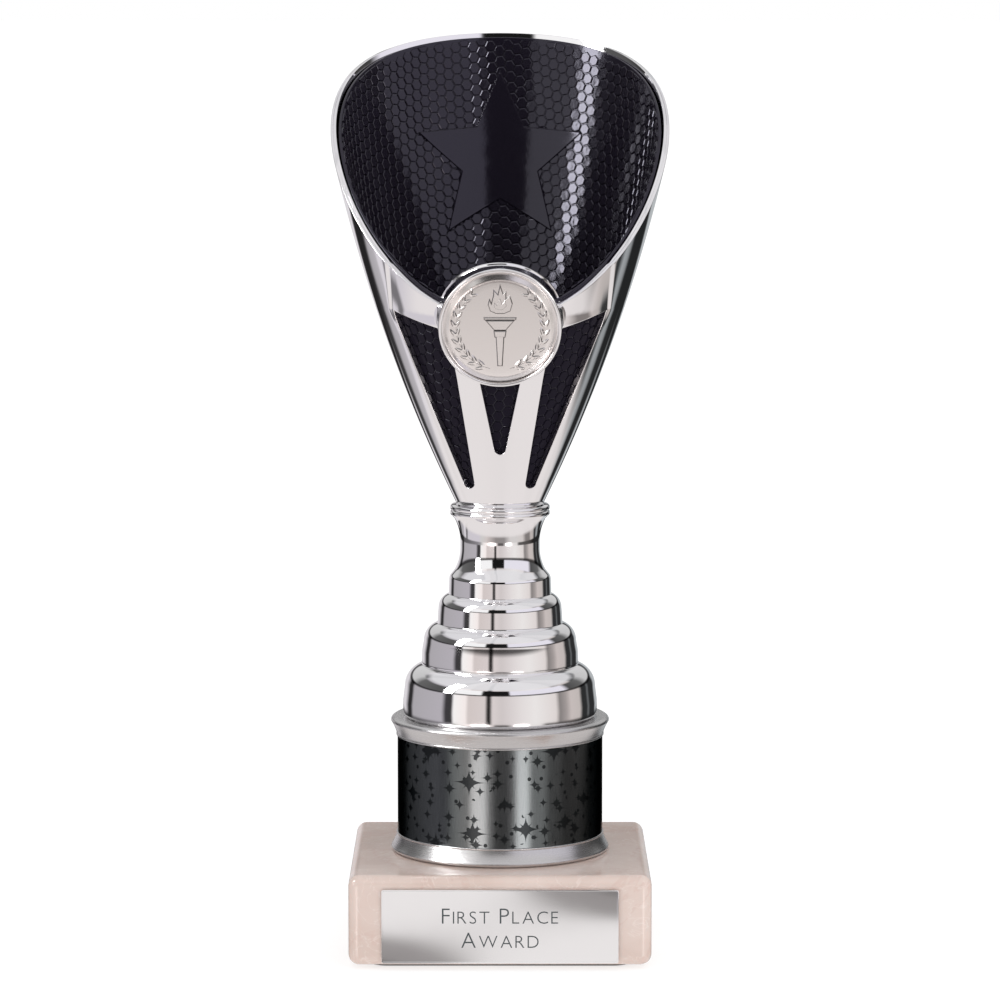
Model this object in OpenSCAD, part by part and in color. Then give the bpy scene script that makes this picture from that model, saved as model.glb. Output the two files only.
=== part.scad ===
// Column trophy: marble base, foil-wrapped column, stepped riser and a lined cup with a medal
// seat, all clamped together by one threaded rod. Millimetres, +Z up, front towards -Y.
// The origin is on the rod's axis, at the underside of the base pad.

/* [Base] */
// Width and depth of the marble block
base_w = 66.6; // [60:0.1:80]
// Height of the marble block
base_h = 20; // [18:0.5:26]
// Radius of the block's worn edges
base_edge = 2.5; // [0.5:0.5:3]
// Thickness of the rubber sheet under the block
pad_t = 0.8; // [0.5:0.1:1.5]
// Width of the engraving plate
plate_w = 52; // [40:1:56]
// Height of the engraving plate
plate_h = 16.4; // [12:0.2:16.4]
// Thickness of the engraving plate
plate_t = 0.5; // [0.4:0.1:1]

/* [Column] */
// Outer diameter of the foil-wrapped tube
column_d = 46.2; // [44:0.2:48]
// Length of tube that shows between the caps
column_h = 22; // [15:1:120]
// Height of each cap's rim
cap_h = 4.2; // [3.5:0.1:6]
// How far a cap's lip stands out past the tube
cap_flare = 1.5; // [0.5:0.1:3]

/* [Cup] */
// Radius of the cup's outside at its foot
cup_foot_r = 9.7; // [9.3:0.1:10]
// Radius of the cup's outside at its highest point
cup_top_r = 42.2; // [38:0.2:46]
// Height of the cup from the riser's collar to its highest point
cup_h = 104.7; // [100:0.1:112]
// Radius of the arc that the cup's side follows
cup_side_r = 357; // [300:1:600]
// Thickness of the shell's wall
shell_wall = 1.3; // [1:0.1:1.6]
// Thickness of the liner's wall
liner_wall = 1.2; // [1:0.1:1.5]

/* [Medal seat] */
// Diameter of the self-adhesive medal
medal_d = 25; // [25:0.1:25.4]
// Outer diameter of the seat that holds it
seat_d = 26.9; // [26.6:0.1:28]
// Height of the seat's centre above the riser's collar
seat_up = 41.5; // [40:0.5:43]
// Distance of the seat's face in front of the axis
seat_out = 29.5; // [29:0.1:30.5]
// Angle by which the seat looks down
seat_tilt = 14; // [10:1:18]

/* [Fixing] */
// Diameter of the threaded rod
rod_d = 6; // [5:0.5:6]

/* [Hidden] */
$fn = 96;

far = 200;

// Levels of the stack, from the table up
base_z = pad_t;
column_z = base_z + base_h;
tube_z = column_z + cap_h;
upper_cap_z = tube_z + column_h;
riser_z = upper_cap_z + cap_h;
riser_h = 48.1;
collar_z = riser_z + riser_h;
cup_top_z = collar_z + cup_h;

// Fixing hardware
rod_hole_d = rod_d + 0.6;
nut_af = 10;
nut_h = 5;
nut_d = nut_af / cos(30);
washer_t = 1.6;
lower_washer_d = 18;
cup_washer_d = 12;
lock_washer_d = 11.8;
lock_washer_gap = 1.2;
pocket_d = 22;
pocket_h = 10.5;
pocket_top_z = base_z + pocket_h;

// Base pad and plate
pad_w = 58;
pad_corner_r = 4;
tape_t = 0.25;
tape_margin = 2;
plate_z = base_z + base_h * 0.45;

// Column
foil_t = 0.3;
tube_wall = 1.6;
tube_r = column_d / 2 - foil_t;
skirt_h = 6;
skirt_wall = 1.2;
cap_web = 1.6;
hub_r = 6.5;
hub_h = 4;

// Riser
spigot_h = 1.6;
spigot_r = 9.3;
collar_recess_r = spigot_r + 0.1;

// Cup
floor_t = 1.5;
liner_gap = 0.1;
liner_inset = shell_wall + liner_gap;
liner_drop = 0.8;
liner_floor_t = 1.2;
liner_floor_z = collar_z + floor_t;
cup_floor_z = liner_floor_z + liner_floor_t;
star_r = 20.5;
star_ratio = 0.45;
star_rise = 0.5;
star_up = 75.4;

// Medal
seat_depth = 9;
seat_recess = 1.5;
medal_t = 1.0;
medal_tape_t = 0.3;
relief_t = 0.25;

rod_bottom_z = base_z + 1.3;
rod_top_z = cup_floor_z + washer_t + nut_h + 2;

// Centre of the arc that the cup's side follows, in radius and height
cup_chord = [cup_top_r - cup_foot_r, cup_h];
cup_chord_l = norm(cup_chord);
cup_chord_h = sqrt(pow(cup_side_r, 2) - pow(cup_chord_l / 2, 2));
cup_c = [(cup_foot_r + cup_top_r) / 2 - cup_chord.y / cup_chord_l * cup_chord_h,
         (collar_z + cup_top_z) / 2 + cup_chord.x / cup_chord_l * cup_chord_h];

// Radius of the cup at a height, for a surface set in from the outside
function cup_r(z, inset) = cup_c.x + sqrt(pow(cup_side_r - inset, 2) - pow(z - cup_c.y, 2));

// The same surface as a row of points between two heights
function cup_side(z0, z1, inset, n = 14) =
    [for (i = [0 : n]) let (z = z0 + (z1 - z0) * i / n) [cup_r(z, inset), z]];

function reversed(list) = [for (i = [len(list) - 1 : -1 : 0]) list[i]];

// Points on an arc round c, from angle a0 to a1
function arc(c, r, a0, a1, n = 8) =
    [for (i = [0 : n]) let (a = a0 + (a1 - a0) * i / n) c + r * [cos(a), sin(a)]];

// Points on a cubic curve
function curve(p, n = 20) =
    [for (i = [0 : n]) let (t = i / n, u = 1 - t)
        u * u * u * p[0] + 3 * u * u * t * p[1] + 3 * u * t * t * p[2] + t * t * t * p[3]];

// The sweep of the rim seen from the side: distance behind the axis, height above the collar
rim_sweep = [[-30, 40.3], [-11, 64.8], [7, 94.3], [42.5, cup_h - 0.1]];

// ---------------------------------------------------------------- shared shapes

module rounded_rect(w, h, r) {
    square([w - 2 * r, h], center = true);
    square([w, h - 2 * r], center = true);
    for (x = [-1, 1], y = [-1, 1])
        translate([x * (w / 2 - r), y * (h / 2 - r)])
            circle(r);
}

// A block with round edges, where three rounded outlines cross
module rounded_block(w, d, h, r) {
    intersection() {
        translate([0, 0, -h / 2])
            linear_extrude(h)
                rounded_rect(w, d, r);
        rotate([90, 0, 0])
            translate([0, 0, -d / 2])
                linear_extrude(d)
                    rounded_rect(w, h, r);
        rotate([90, 0, 90])
            translate([0, 0, -w / 2])
                linear_extrude(w)
                    rounded_rect(d, h, r);
    }
}

module ring(outer_d, inner_d, h) {
    difference() {
        cylinder(d = outer_d, h = h);
        translate([0, 0, -1])
            cylinder(d = inner_d, h = h + 2);
    }
}

module hex_nut() {
    difference() {
        cylinder(d = nut_d, h = nut_h, $fn = 6);
        translate([0, 0, -1])
            cylinder(d = rod_d, h = nut_h + 2);
    }
}

// ---------------------------------------------------------------- base

module base_pad() {
    color("darkslategray")
        linear_extrude(pad_t)
            rounded_rect(pad_w, pad_w, pad_corner_r);
}

module marble_base() {
    color("mistyrose")
        difference() {
            translate([0, 0, base_z + base_h / 2])
                rounded_block(base_w, base_w, base_h, base_edge);
            cylinder(d = rod_hole_d, h = far);
            translate([0, 0, base_z - 1])
                cylinder(d = pocket_d, h = pocket_h + 1);
        }
}

module plate_tape() {
    color("white")
        translate([0, -base_w / 2, plate_z])
            rotate([90, 0, 0])
                linear_extrude(tape_t)
                    square([plate_w - tape_margin, plate_h - tape_margin], center = true);
}

module engraving_plate() {
    color("silver")
        translate([0, -base_w / 2 - tape_t, plate_z])
            rotate([90, 0, 0])
                linear_extrude(plate_t)
                    rounded_rect(plate_w, plate_h, 0.4);
}

// ---------------------------------------------------------------- rod, nuts and washers

module threaded_rod() {
    color("gainsboro")
        translate([0, 0, rod_bottom_z])
            cylinder(d = rod_d, h = rod_top_z - rod_bottom_z);
}

module lower_washer() {
    color("lightgray")
        translate([0, 0, pocket_top_z - washer_t])
            ring(lower_washer_d, rod_hole_d, washer_t);
}

// The spring washer is split, with the gap to one side
module lower_lock_washer() {
    color("dimgray")
        translate([0, 0, pocket_top_z - 2 * washer_t])
            difference() {
                ring(lock_washer_d, rod_hole_d, washer_t);
                translate([0, -lock_washer_gap / 2, -1])
                    cube([lock_washer_d, lock_washer_gap, washer_t + 2]);
            }
}

module lower_nut() {
    color("silver")
        translate([0, 0, pocket_top_z - 2 * washer_t - nut_h])
            hex_nut();
}

module cup_washer() {
    color("lightgray")
        translate([0, 0, cup_floor_z])
            ring(cup_washer_d, rod_hole_d, washer_t);
}

module cup_nut() {
    color("silver")
        translate([0, 0, cup_floor_z + washer_t])
            hex_nut();
}

// ---------------------------------------------------------------- column

// A cap lying lip down: a hollowed flare, a web with a hub, and a skirt that plugs the tube
module cap() {
    lip_r = column_d / 2 + cap_flare;
    lip_h = 0.9;
    skirt_r = tube_r - tube_wall - 0.05;
    rotate_extrude()
        polygon(concat(
            [[rod_hole_d / 2, 0], [lip_r - 0.6, 0]],
            arc([lip_r - 0.6, 0.6], 0.6, -90, 0, 4),
            [for (a = [0 : 10 : 90])
                [lip_r - cap_flare * sin(a), cap_h - (cap_h - lip_h) * cos(a)]],
            [[skirt_r, cap_h], [skirt_r, cap_h + skirt_h],
             [skirt_r - skirt_wall, cap_h + skirt_h], [skirt_r - skirt_wall, cap_web],
             [hub_r, cap_web], [hub_r, cap_web + hub_h], [rod_hole_d / 2, cap_web + hub_h]]));
}

module lower_cap() {
    color("lightgray")
        translate([0, 0, column_z])
            cap();
}

module upper_cap() {
    color("lightgray")
        translate([0, 0, riser_z])
            mirror([0, 0, 1])
                cap();
}

module column_tube() {
    color("tan")
        translate([0, 0, tube_z])
            ring(2 * tube_r, 2 * (tube_r - tube_wall), column_h);
}

module foil_sleeve() {
    color("darkslategray")
        translate([0, 0, tube_z])
            ring(column_d, 2 * tube_r, column_h);
}

// ---------------------------------------------------------------- riser

// Half outline of the riser's outside, from its foot to the lip of the collar: four tiers with
// round shoulders, a waisted neck and a double-beaded collar
riser_outline = concat(
    [[21.8, 0], [21.8, 3.6]],
    arc([16.4, 6.9], 5, 0, 78),
    [[17.6, 12.4], [17.5, 15.0]],
    arc([13.1, 17.2], 4, 0, 76),
    [[14.0, 21.5], [13.9, 23.6]],
    arc([10.6, 24.6], 3.2, 0, 74),
    [[11.5, 28.2]],
    arc([9.6, 31.0], 1.8, 0, 45, 4),
    arc([19.1, 38.1], 10.2, 209, 180),
    arc([20.8, 39.4], 11.9, 180, 153),
    arc([10.5, 46.1], 0.7, -60, 60, 5),
    arc([10.5, 47.3], 0.7, -60, 80, 5),
    [[collar_recess_r + 0.5, riser_h]]);

// Half outline of the hollow under it, with a closed top that the rod's hole goes through
riser_hollow = [[0, -1], [20.2, -1], [20.2, 5], [18, 9], [15.8, 11], [15.6, 16], [12.4, 19.6],
                [12.2, 23.5], [9.8, 27], [9.6, 30], [7.3, 35], [7.3, 42], [3, 43.5], [0, 43.5]];

module riser() {
    color("silver")
        translate([0, 0, riser_z])
            difference() {
                rotate_extrude()
                    polygon(concat([[0, 0]], riser_outline, [[0, riser_h]]));
                rotate_extrude()
                    polygon(riser_hollow);
                cylinder(d = rod_hole_d, h = far);
                translate([0, 0, riser_h - spigot_h])
                    cylinder(r = collar_recess_r, h = 5);
            }
}

// ---------------------------------------------------------------- cup

// Everything above the rim's sweep, lowered by a drop
module above_rim(drop = 0) {
    translate([-far / 2, 0, collar_z - drop])
        rotate([90, 0, 90])
            linear_extrude(far)
                polygon(concat([[-60, 0]], curve(rim_sweep),
                               [[60, cup_h + 5], [60, far], [-60, far]]));
}

// The bowl as a solid with a flat top, set in from the outside of the shell
module bowl_solid(inset, z0) {
    rotate_extrude()
        polygon(concat([[0, z0]], cup_side(z0, cup_top_z, inset), [[0, cup_top_z]]));
}

// A wall that follows the cup's side, with a floor and the rod's hole
module bowl_wall(inset, wall, z0, floor_t, drop) {
    difference() {
        rotate_extrude()
            polygon(concat(
                [[0, z0]], cup_side(z0, cup_top_z, inset),
                reversed(cup_side(z0 + floor_t, cup_top_z, inset + wall)),
                [[0, z0 + floor_t]]));
        above_rim(drop);
        cylinder(d = rod_hole_d, h = far);
    }
}

// A window's outline across and up from the collar: a tall slot with a round lower end
module window_outline(top, bottom, end_r) {
    polygon(concat(top, bottom));
    translate([(bottom[0].x + bottom[1].x) / 2, bottom[0].y])
        circle(end_r);
}

module windows() {
    translate([0, 0, collar_z])
        rotate([90, 0, 0])
            linear_extrude(far) {
                for (side = [0, 1])
                    mirror([side, 0])
                        window_outline([[-23.7, 44.3], [-11.5, 40.4], [-9.5, 30]],
                                       [[-5.7, 5.6], [-8.1, 5.6]], 1.2);
                window_outline([[-4.5, 29.5], [4.5, 29.5]], [[1.3, 13.8], [-1.3, 13.8]], 1.3);
            }
}

// Places its children on the medal seat: local +Z leaves the seat's face
module at_seat() {
    translate([0, -seat_out, collar_z + seat_up])
        rotate([90 + seat_tilt, 0, 0])
            children();
}

// The seat is a boss that reaches back to the bowl: into the shell's wall below the rim, and
// to the line of the liner's inside where it stands free above the rim
module seat_boss() {
    difference() {
        at_seat()
            translate([0, 0, -seat_depth])
                cylinder(d = seat_d, h = seat_depth);
        bowl_solid(liner_inset + liner_wall, collar_z);
        difference() {
            bowl_solid(shell_wall * 0.6, collar_z);
            above_rim(liner_drop / 2);
        }
    }
}

module cup_shell() {
    color("silver")
        difference() {
            union() {
                difference() {
                    bowl_wall(0, shell_wall, collar_z, floor_t, 0);
                    windows();
                }
                translate([0, 0, collar_z - spigot_h])
                    ring(2 * spigot_r, rod_hole_d, spigot_h + 0.5);
                seat_boss();
            }
            at_seat()
                translate([0, 0, -seat_recess])
                    cylinder(d = medal_d + 0.3, h = 5);
        }
}

module star_outline() {
    polygon([for (i = [0 : 9])
        let (r = i % 2 == 0 ? star_r : star_r * star_ratio, a = 90 + 36 * i)
            r * [cos(a), sin(a)]]);
}

// The star stands on the liner's back wall, as thick as its rise and as round as the wall
module liner_star() {
    z0 = collar_z + star_up - star_r - 1;
    z1 = collar_z + star_up + star_r + 1;
    inner = liner_inset + liner_wall;
    intersection() {
        rotate_extrude()
            polygon(concat(cup_side(z0, z1, inner - 0.1, 6),
                           reversed(cup_side(z0, z1, inner + star_rise, 6))));
        translate([0, far, collar_z + star_up])
            rotate([90, 0, 0])
                linear_extrude(far)
                    star_outline();
    }
}

module cup_liner() {
    color([0.08, 0.07, 0.1]) {
        bowl_wall(liner_inset, liner_wall, liner_floor_z, liner_floor_t, liner_drop);
        liner_star();
    }
}

// ---------------------------------------------------------------- medal

module medal_tape() {
    color("white")
        at_seat()
            translate([0, 0, -seat_recess])
                cylinder(d = medal_d - 1, h = medal_tape_t);
}

// A torch: handle, collar, bowl and a pointed flame
module torch_outline() {
    polygon([[-0.6, -9], [0.6, -9], [1.2, 0], [-1.2, 0]]);
    polygon([[-1.6, -1], [1.6, -1], [3.8, 2], [-3.8, 2]]);
    polygon([[-2.4, 3], [2.4, 3], [3, 5], [1.8, 7.4], [0.9, 6.4], [0, 9.6],
             [-1, 6.4], [-1.9, 7.8], [-3, 5]]);
}

module centre_medal() {
    color("lightgray")
        at_seat()
            translate([0, 0, medal_tape_t - seat_recess]) {
                cylinder(d = medal_d, h = medal_t - relief_t);
                translate([0, 0, medal_t - relief_t]) {
                    ring(medal_d, medal_d - 1.2, relief_t);
                    linear_extrude(relief_t)
                        torch_outline();
                }
            }
}

// ---------------------------------------------------------------- nodes

base_pad();
marble_base();
plate_tape();
engraving_plate();
lower_nut();
lower_lock_washer();
lower_washer();
threaded_rod();
lower_cap();
column_tube();
foil_sleeve();
upper_cap();
riser();
cup_shell();
cup_liner();
medal_tape();
centre_medal();
cup_washer();
cup_nut();
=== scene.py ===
"""Column trophy: marble base, foil column, stepped riser and a lined cup with a medal seat.

Every piece is made in metres, +Z up and front towards -Y, where the loaded frame holds it.
"""

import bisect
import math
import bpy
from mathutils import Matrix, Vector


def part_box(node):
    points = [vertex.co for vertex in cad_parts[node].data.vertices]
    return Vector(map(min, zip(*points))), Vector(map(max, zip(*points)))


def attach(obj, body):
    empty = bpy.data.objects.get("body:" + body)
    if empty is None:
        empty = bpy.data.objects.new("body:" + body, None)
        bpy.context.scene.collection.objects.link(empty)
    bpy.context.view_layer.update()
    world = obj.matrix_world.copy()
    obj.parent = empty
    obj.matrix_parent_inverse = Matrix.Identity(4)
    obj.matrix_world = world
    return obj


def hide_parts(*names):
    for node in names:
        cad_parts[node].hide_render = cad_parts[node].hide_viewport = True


bl_info = {
    "name": "Column trophy",
    "version": (1, 0, 0),
    "blender": (4, 5, 0),
    "location": "View3D > Sidebar > Trophy",
    "description": "Builds the finished pieces of a column trophy round its frame",
    "category": "Add Mesh",
}

import bmesh
import bpy
from bpy.props import FloatProperty, FloatVectorProperty, IntProperty, PointerProperty
from bpy.props import StringProperty
from mathutils import Matrix, Vector

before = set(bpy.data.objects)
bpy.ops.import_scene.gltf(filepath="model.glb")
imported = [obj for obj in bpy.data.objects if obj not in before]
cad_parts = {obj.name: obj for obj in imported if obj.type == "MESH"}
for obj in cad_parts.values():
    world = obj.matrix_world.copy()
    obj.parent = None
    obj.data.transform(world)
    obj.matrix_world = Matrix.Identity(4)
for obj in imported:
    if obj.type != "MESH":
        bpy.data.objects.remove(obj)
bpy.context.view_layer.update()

MM = 0.001
TAU = 2 * math.pi

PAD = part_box("base_pad")
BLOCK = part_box("marble_base")
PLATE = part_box("engraving_plate")
LOWER_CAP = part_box("lower_cap")
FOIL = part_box("foil_sleeve")
UPPER_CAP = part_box("upper_cap")
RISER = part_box("riser")
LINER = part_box("cup_liner")
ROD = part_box("threaded_rod")

COLLAR_Z = RISER[1].z
LIP_Z = UPPER_CAP[1].z
# Radius of the rod's hole through the stack
ROD_HOLE = 3.3 * MM
# Vertices closer than this are one
SAME = 1e-6


# ---------------------------------------------------------------- sizes and colours


def length(name, description, default):
    return FloatProperty(name=name, description=description, default=default, unit="LENGTH",
                         subtype="DISTANCE", precision=5)


def colour(name, description, default):
    return FloatVectorProperty(name=name, description=description, default=default, size=3,
                               subtype="COLOR", min=0, max=1)


class TrophyBaseSizes(bpy.types.PropertyGroup):
    edge: length("Edge radius", "Radius of the marble block's worn edges", 2.3 * MM)
    hole: length("Rod hole", "Radius of the rod's hole through the block", 3.3 * MM)
    pocket: length("Pocket radius", "Radius of the nut's pocket under the block", 11 * MM)
    pocket_depth: length("Pocket depth", "Depth of the pocket under the block", 10.5 * MM)
    pad_corner: length("Pad corner", "Corner radius of the rubber pad", 4 * MM)
    plate_frame: length("Plate frame", "Width of the plate's bright edge", 0.3 * MM)
    line_1: StringProperty(name="First line", description="First engraved line",
                           default="FIRST PLACE")
    line_2: StringProperty(name="Second line", description="Second engraved line",
                           default="AWARD")
    capital: length("Capital height", "Height of the first letter of a word", 3.7 * MM)


class TrophyCupSizes(bpy.types.PropertyGroup):
    foot: length("Foot radius", "Radius of the cup's outside at its foot", 9.7 * MM)
    top: length("Top radius", "Radius of the cup's outside at its highest point", 42.2 * MM)
    height: length("Height", "Height from the collar to the cup's highest point", 104.7 * MM)
    side: length("Side radius", "Radius of the arc that the cup's side follows", 357 * MM)
    wall: length("Shell wall", "Thickness of the shell", 1.3 * MM)
    liner_inset: length("Liner inset", "From the shell's outside to the liner's", 1.4 * MM)
    liner_wall: length("Liner wall", "Thickness of the liner with its pads", 1.2 * MM)
    liner_drop: length("Liner drop", "How far the liner's rim is below the shell's", 0.6 * MM)
    pad_pitch: length("Pad pitch", "Distance between the liner's hexagonal pads", 2.42 * MM)
    star: length("Star radius", "Radius of the liner's star", 21.5 * MM)
    star_up: length("Star height", "Height of the star's centre above the collar", 75.7 * MM)


class TrophyMedalSizes(bpy.types.PropertyGroup):
    seat: length("Seat radius", "Outer radius of the medal's seat", 13.45 * MM)
    medal: length("Medal radius", "Radius of the medal", 12.5 * MM)
    recess: length("Recess", "Depth of the seat's recess", 1.5 * MM)
    up: length("Seat height", "Height of the seat's centre above the collar", 41.5 * MM)
    out: length("Seat distance", "Distance of the seat's face from the axis", 29.5 * MM)
    tilt: FloatProperty(name="Tilt", description="Angle by which the seat looks down",
                        default=math.radians(14), subtype="ANGLE")
    leaves: IntProperty(name="Leaf pairs", description="Pairs of leaves on each branch",
                        default=11, min=5, max=16)


class TrophyColours(bpy.types.PropertyGroup):
    marble: colour("Marble", "Body colour of the marble", (0.66, 0.52, 0.46))
    marble_pale: colour("Pale marble", "Colour of the marble's clouds", (0.76, 0.63, 0.575))
    marble_vein: colour("Marble vein", "Colour of the marble's veins", (0.60, 0.38, 0.33))
    chrome: colour("Chrome", "Colour of the plated shell and riser", (0.90, 0.89, 0.90))
    satin: colour("Satin metal", "Colour of the caps", (0.68, 0.67, 0.67))
    liner: colour("Liner", "Colour of the gloss liner", (0.010, 0.008, 0.014))
    foil: colour("Foil", "Colour of the foil's metal", (0.185, 0.202, 0.207))
    foil_star: colour("Foil star", "Colour of the foil's printed stars", (0.032, 0.036, 0.038))
    medal: colour("Medal", "Colour of the medal", (0.92, 0.88, 0.86))
    letters: colour("Letters", "Colour of the engraved letters", (0.060, 0.075, 0.080))


# ---------------------------------------------------------------- making pieces


def select(geometry, kind):
    return [g for g in geometry if isinstance(g, kind)]


def bevel(bm, edges, offset, segments=3):
    bmesh.ops.bevel(bm, geom=edges, offset=offset, offset_type="OFFSET", segments=segments,
                    profile=0.5, affect="EDGES", clamp_overlap=True, material=-1)


def closed_faces(bm, closest=2e-6):
    """Merges doubles and turns every face outwards."""
    bmesh.ops.remove_doubles(bm, verts=bm.verts, dist=closest)
    bmesh.ops.recalc_face_normals(bm, faces=bm.faces)


def face_out(bm):
    """Merges a cup-shaped sheet's doubles and turns it away from the axis."""
    bmesh.ops.remove_doubles(bm, verts=bm.verts, dist=SAME)
    bmesh.ops.recalc_face_normals(bm, faces=bm.faces)
    if min(bm.faces, key=lambda f: f.calc_center_median().y).normal.y > 0:
        bmesh.ops.reverse_faces(bm, faces=bm.faces)


def box_mesh(low, high):
    """A plain block between two corners."""
    bm = bmesh.new()
    bmesh.ops.create_cube(bm, size=1)
    bmesh.ops.scale(bm, vec=high - low, verts=bm.verts)
    bmesh.ops.translate(bm, vec=(low + high) / 2, verts=bm.verts)
    return bm


def ring(bm, radius, z, segments=64):
    """The edges of a level circle round the axis."""
    verts = bmesh.ops.create_circle(bm, segments=segments, radius=radius)["verts"]
    bmesh.ops.translate(bm, vec=(0, 0, z), verts=verts)
    return list({e for v in verts for e in v.link_edges})


def take_in(bm, other):
    """Adds another bmesh's shape to this one and frees it."""
    copy = bpy.data.meshes.new("copy")
    other.to_mesh(copy)
    other.free()
    bm.from_mesh(copy)
    bpy.data.meshes.remove(copy)


def piece(name, bm, finish, stands_for=(), sharp=38, weighted=True):
    """Makes the object of a bmesh, smooth up to the sharp angle, and ties it to the frame."""
    mesh = bpy.data.meshes.new(name)
    bm.to_mesh(mesh)
    bm.free()
    for face in mesh.polygons:
        face.use_smooth = True
    mesh.set_sharp_from_angle(angle=math.radians(sharp))
    mesh.materials.append(finish)
    made = bpy.data.objects.new(name, mesh)
    bpy.context.collection.objects.link(made)
    if weighted:
        soft = made.modifiers.new("Weighted Normal", "WEIGHTED_NORMAL")
        soft.keep_sharp = True
    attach(made, "root")
    if stands_for:
        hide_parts(*stands_for)
    return made


def keep_node(node, finish):
    """Gives a frame node that stays shown its finish."""
    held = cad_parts[node]
    held.data.materials.clear()
    held.data.materials.append(finish)


def arc(centre, radius, start, end, steps=12):
    """Points on an arc in the plane of radius and height; angles in degrees."""
    turns = [math.radians(start + (end - start) * i / steps) for i in range(steps + 1)]
    return [(centre[0] + radius * math.cos(a), centre[1] + radius * math.sin(a)) for a in turns]


def eased(outline, reach, steps=4, least=20):
    """A closed outline whose sharp corners become short curves that start reach before them."""
    points = [Vector(p) for p in outline]
    made = []
    for i, corner in enumerate(points):
        back = points[i - 1] - corner
        ahead = points[(i + 1) % len(points)] - corner
        if math.degrees(back.angle(-ahead)) < least:
            made.append(corner)
            continue
        first = corner + back.normalized() * min(reach, 0.4 * back.length)
        last = corner + ahead.normalized() * min(reach, 0.4 * ahead.length)
        for k in range(steps + 1):
            t = k / steps
            made.append(first.lerp(corner, t).lerp(corner.lerp(last, t), t))
    return made


def lathe(outline, steps=144, bm=None):
    """A closed round solid: a closed outline of radius and height turned about the axis."""
    bm = bm or bmesh.new()
    verts = [bm.verts.new((p[0], 0, p[1])) for p in outline]
    edges = [bm.edges.new(pair) for pair in zip(verts, verts[1:] + verts[:1])]
    bmesh.ops.spin(bm, geom=verts + edges, cent=(0, 0, 0), axis=(0, 0, 1), angle=TAU,
                   steps=steps, use_merge=True)
    closed_faces(bm)
    return bm


def sweep_angle(position):
    """Angle round the axis from the front, positive towards +X."""
    return math.atan2(position.x, -position.y)


# ---------------------------------------------------------------- bowl of shell and liner


class Bowl:
    """The round surface of the cup: one arc turned about the axis, cut by a sweeping rim."""

    SWEEP = [(-30 * MM, 40.3 * MM), (-11 * MM, 64.8 * MM), (7 * MM, 94.3 * MM),
             (42.5 * MM, 104.6 * MM)]

    def __init__(self, sizes):
        chord = Vector((sizes.top - sizes.foot, sizes.height))
        rise = math.sqrt(sizes.side**2 - (chord.length / 2) ** 2)
        across = chord.normalized()
        self.arc = sizes.side
        self.centre_r = (sizes.foot + sizes.top) / 2 - across.y * rise
        self.centre_z = COLLAR_Z + sizes.height / 2 + across.x * rise
        samples = [self.curve(-0.3 + 1.4 * i / 800) for i in range(801)]
        self.sweep_y, self.sweep_z = zip(*samples)
        self.rims = {}

    def radius(self, z, inset=0.0):
        return self.centre_r + math.sqrt((self.arc - inset) ** 2 - (z - self.centre_z) ** 2)

    def point(self, turn, z, inset=0.0):
        r = self.radius(z, inset)
        return Vector((r * math.sin(turn), -r * math.cos(turn), z))

    def inset(self, position):
        """How far a position lies inside the cup's outer surface."""
        r = math.hypot(position.x, position.y)
        return self.arc - math.hypot(r - self.centre_r, position.z - self.centre_z)

    def normal(self, turn, z, inset=0.0):
        """The direction away from the axis at right angles to the surface."""
        across = self.radius(z, inset) - self.centre_r
        up = z - self.centre_z
        size = math.hypot(across, up)
        return Vector((across * math.sin(turn), -across * math.cos(turn), up)) / size

    def curve(self, t):
        u = 1 - t
        weights = (u**3, 3 * u * u * t, 3 * u * t * t, t**3)
        return [sum(w * p[axis] for w, p in zip(weights, self.SWEEP)) for axis in (0, 1)]

    def sweep(self, y):
        """Height of the rim's sweep above the collar at a distance behind the axis."""
        i = min(max(bisect.bisect(self.sweep_y, y), 1), len(self.sweep_y) - 1)
        y0, y1 = self.sweep_y[i - 1 : i + 1]
        z0, z1 = self.sweep_z[i - 1 : i + 1]
        return z0 + (z1 - z0) * (y - y0) / (y1 - y0)

    def rim(self, turn, inset=0.0, drop=0.0):
        """Height at which the surface meets the rim's sweep, read from a row worked out once."""
        key = (round(inset, 6), round(drop, 6))
        if key not in self.rims:
            self.rims[key] = [self.meet(math.pi * i / 720, inset, drop) for i in range(722)]
        row = self.rims[key]
        turn = abs(math.remainder(turn, TAU)) / math.pi * 720
        i = int(turn)
        return row[i] + (row[min(i + 1, 721)] - row[i]) * (turn - i)

    def meet(self, turn, inset, drop):
        low, high = COLLAR_Z, COLLAR_Z + 0.106
        for _ in range(26):
            z = (low + high) / 2
            y = -self.radius(z, inset) * math.cos(turn)
            low, high = (z, high) if z < COLLAR_Z + self.sweep(y) - drop else (low, z)
        return low


def between(knots, h):
    """A value read off a broken line of (height, value) pairs."""
    for (h0, v0), (h1, v1) in zip(knots, knots[1:]):
        if h <= h1:
            return v0 + (v1 - v0) * (h - h0) / (h1 - h0)
    return knots[-1][1]


def smooth_step(x):
    x = min(1.0, max(0.0, x))
    return x * x * (3 - 2 * x)


# ---------------------------------------------------------------- finishes


class Value:
    """A node's output that takes part in sums; a number may stand on either side."""

    def __init__(self, finish, socket):
        self.finish, self.socket = finish, socket

    def __add__(self, other):
        return self.finish.math("ADD", self, other)

    def __sub__(self, other):
        return self.finish.math("SUBTRACT", self, other)

    def __rsub__(self, other):
        return self.finish.math("SUBTRACT", other, self)

    def __mul__(self, other):
        return self.finish.math("MULTIPLY", self, other)

    __radd__ = __add__
    __rmul__ = __mul__

    def __lt__(self, other):
        return self.finish.math("LESS_THAN", self, other)

    def __gt__(self, other):
        return self.finish.math("GREATER_THAN", self, other)

    def __abs__(self):
        return self.finish.math("ABSOLUTE", self)

    def __pow__(self, power):
        return self.finish.math("POWER", self, power)


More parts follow.
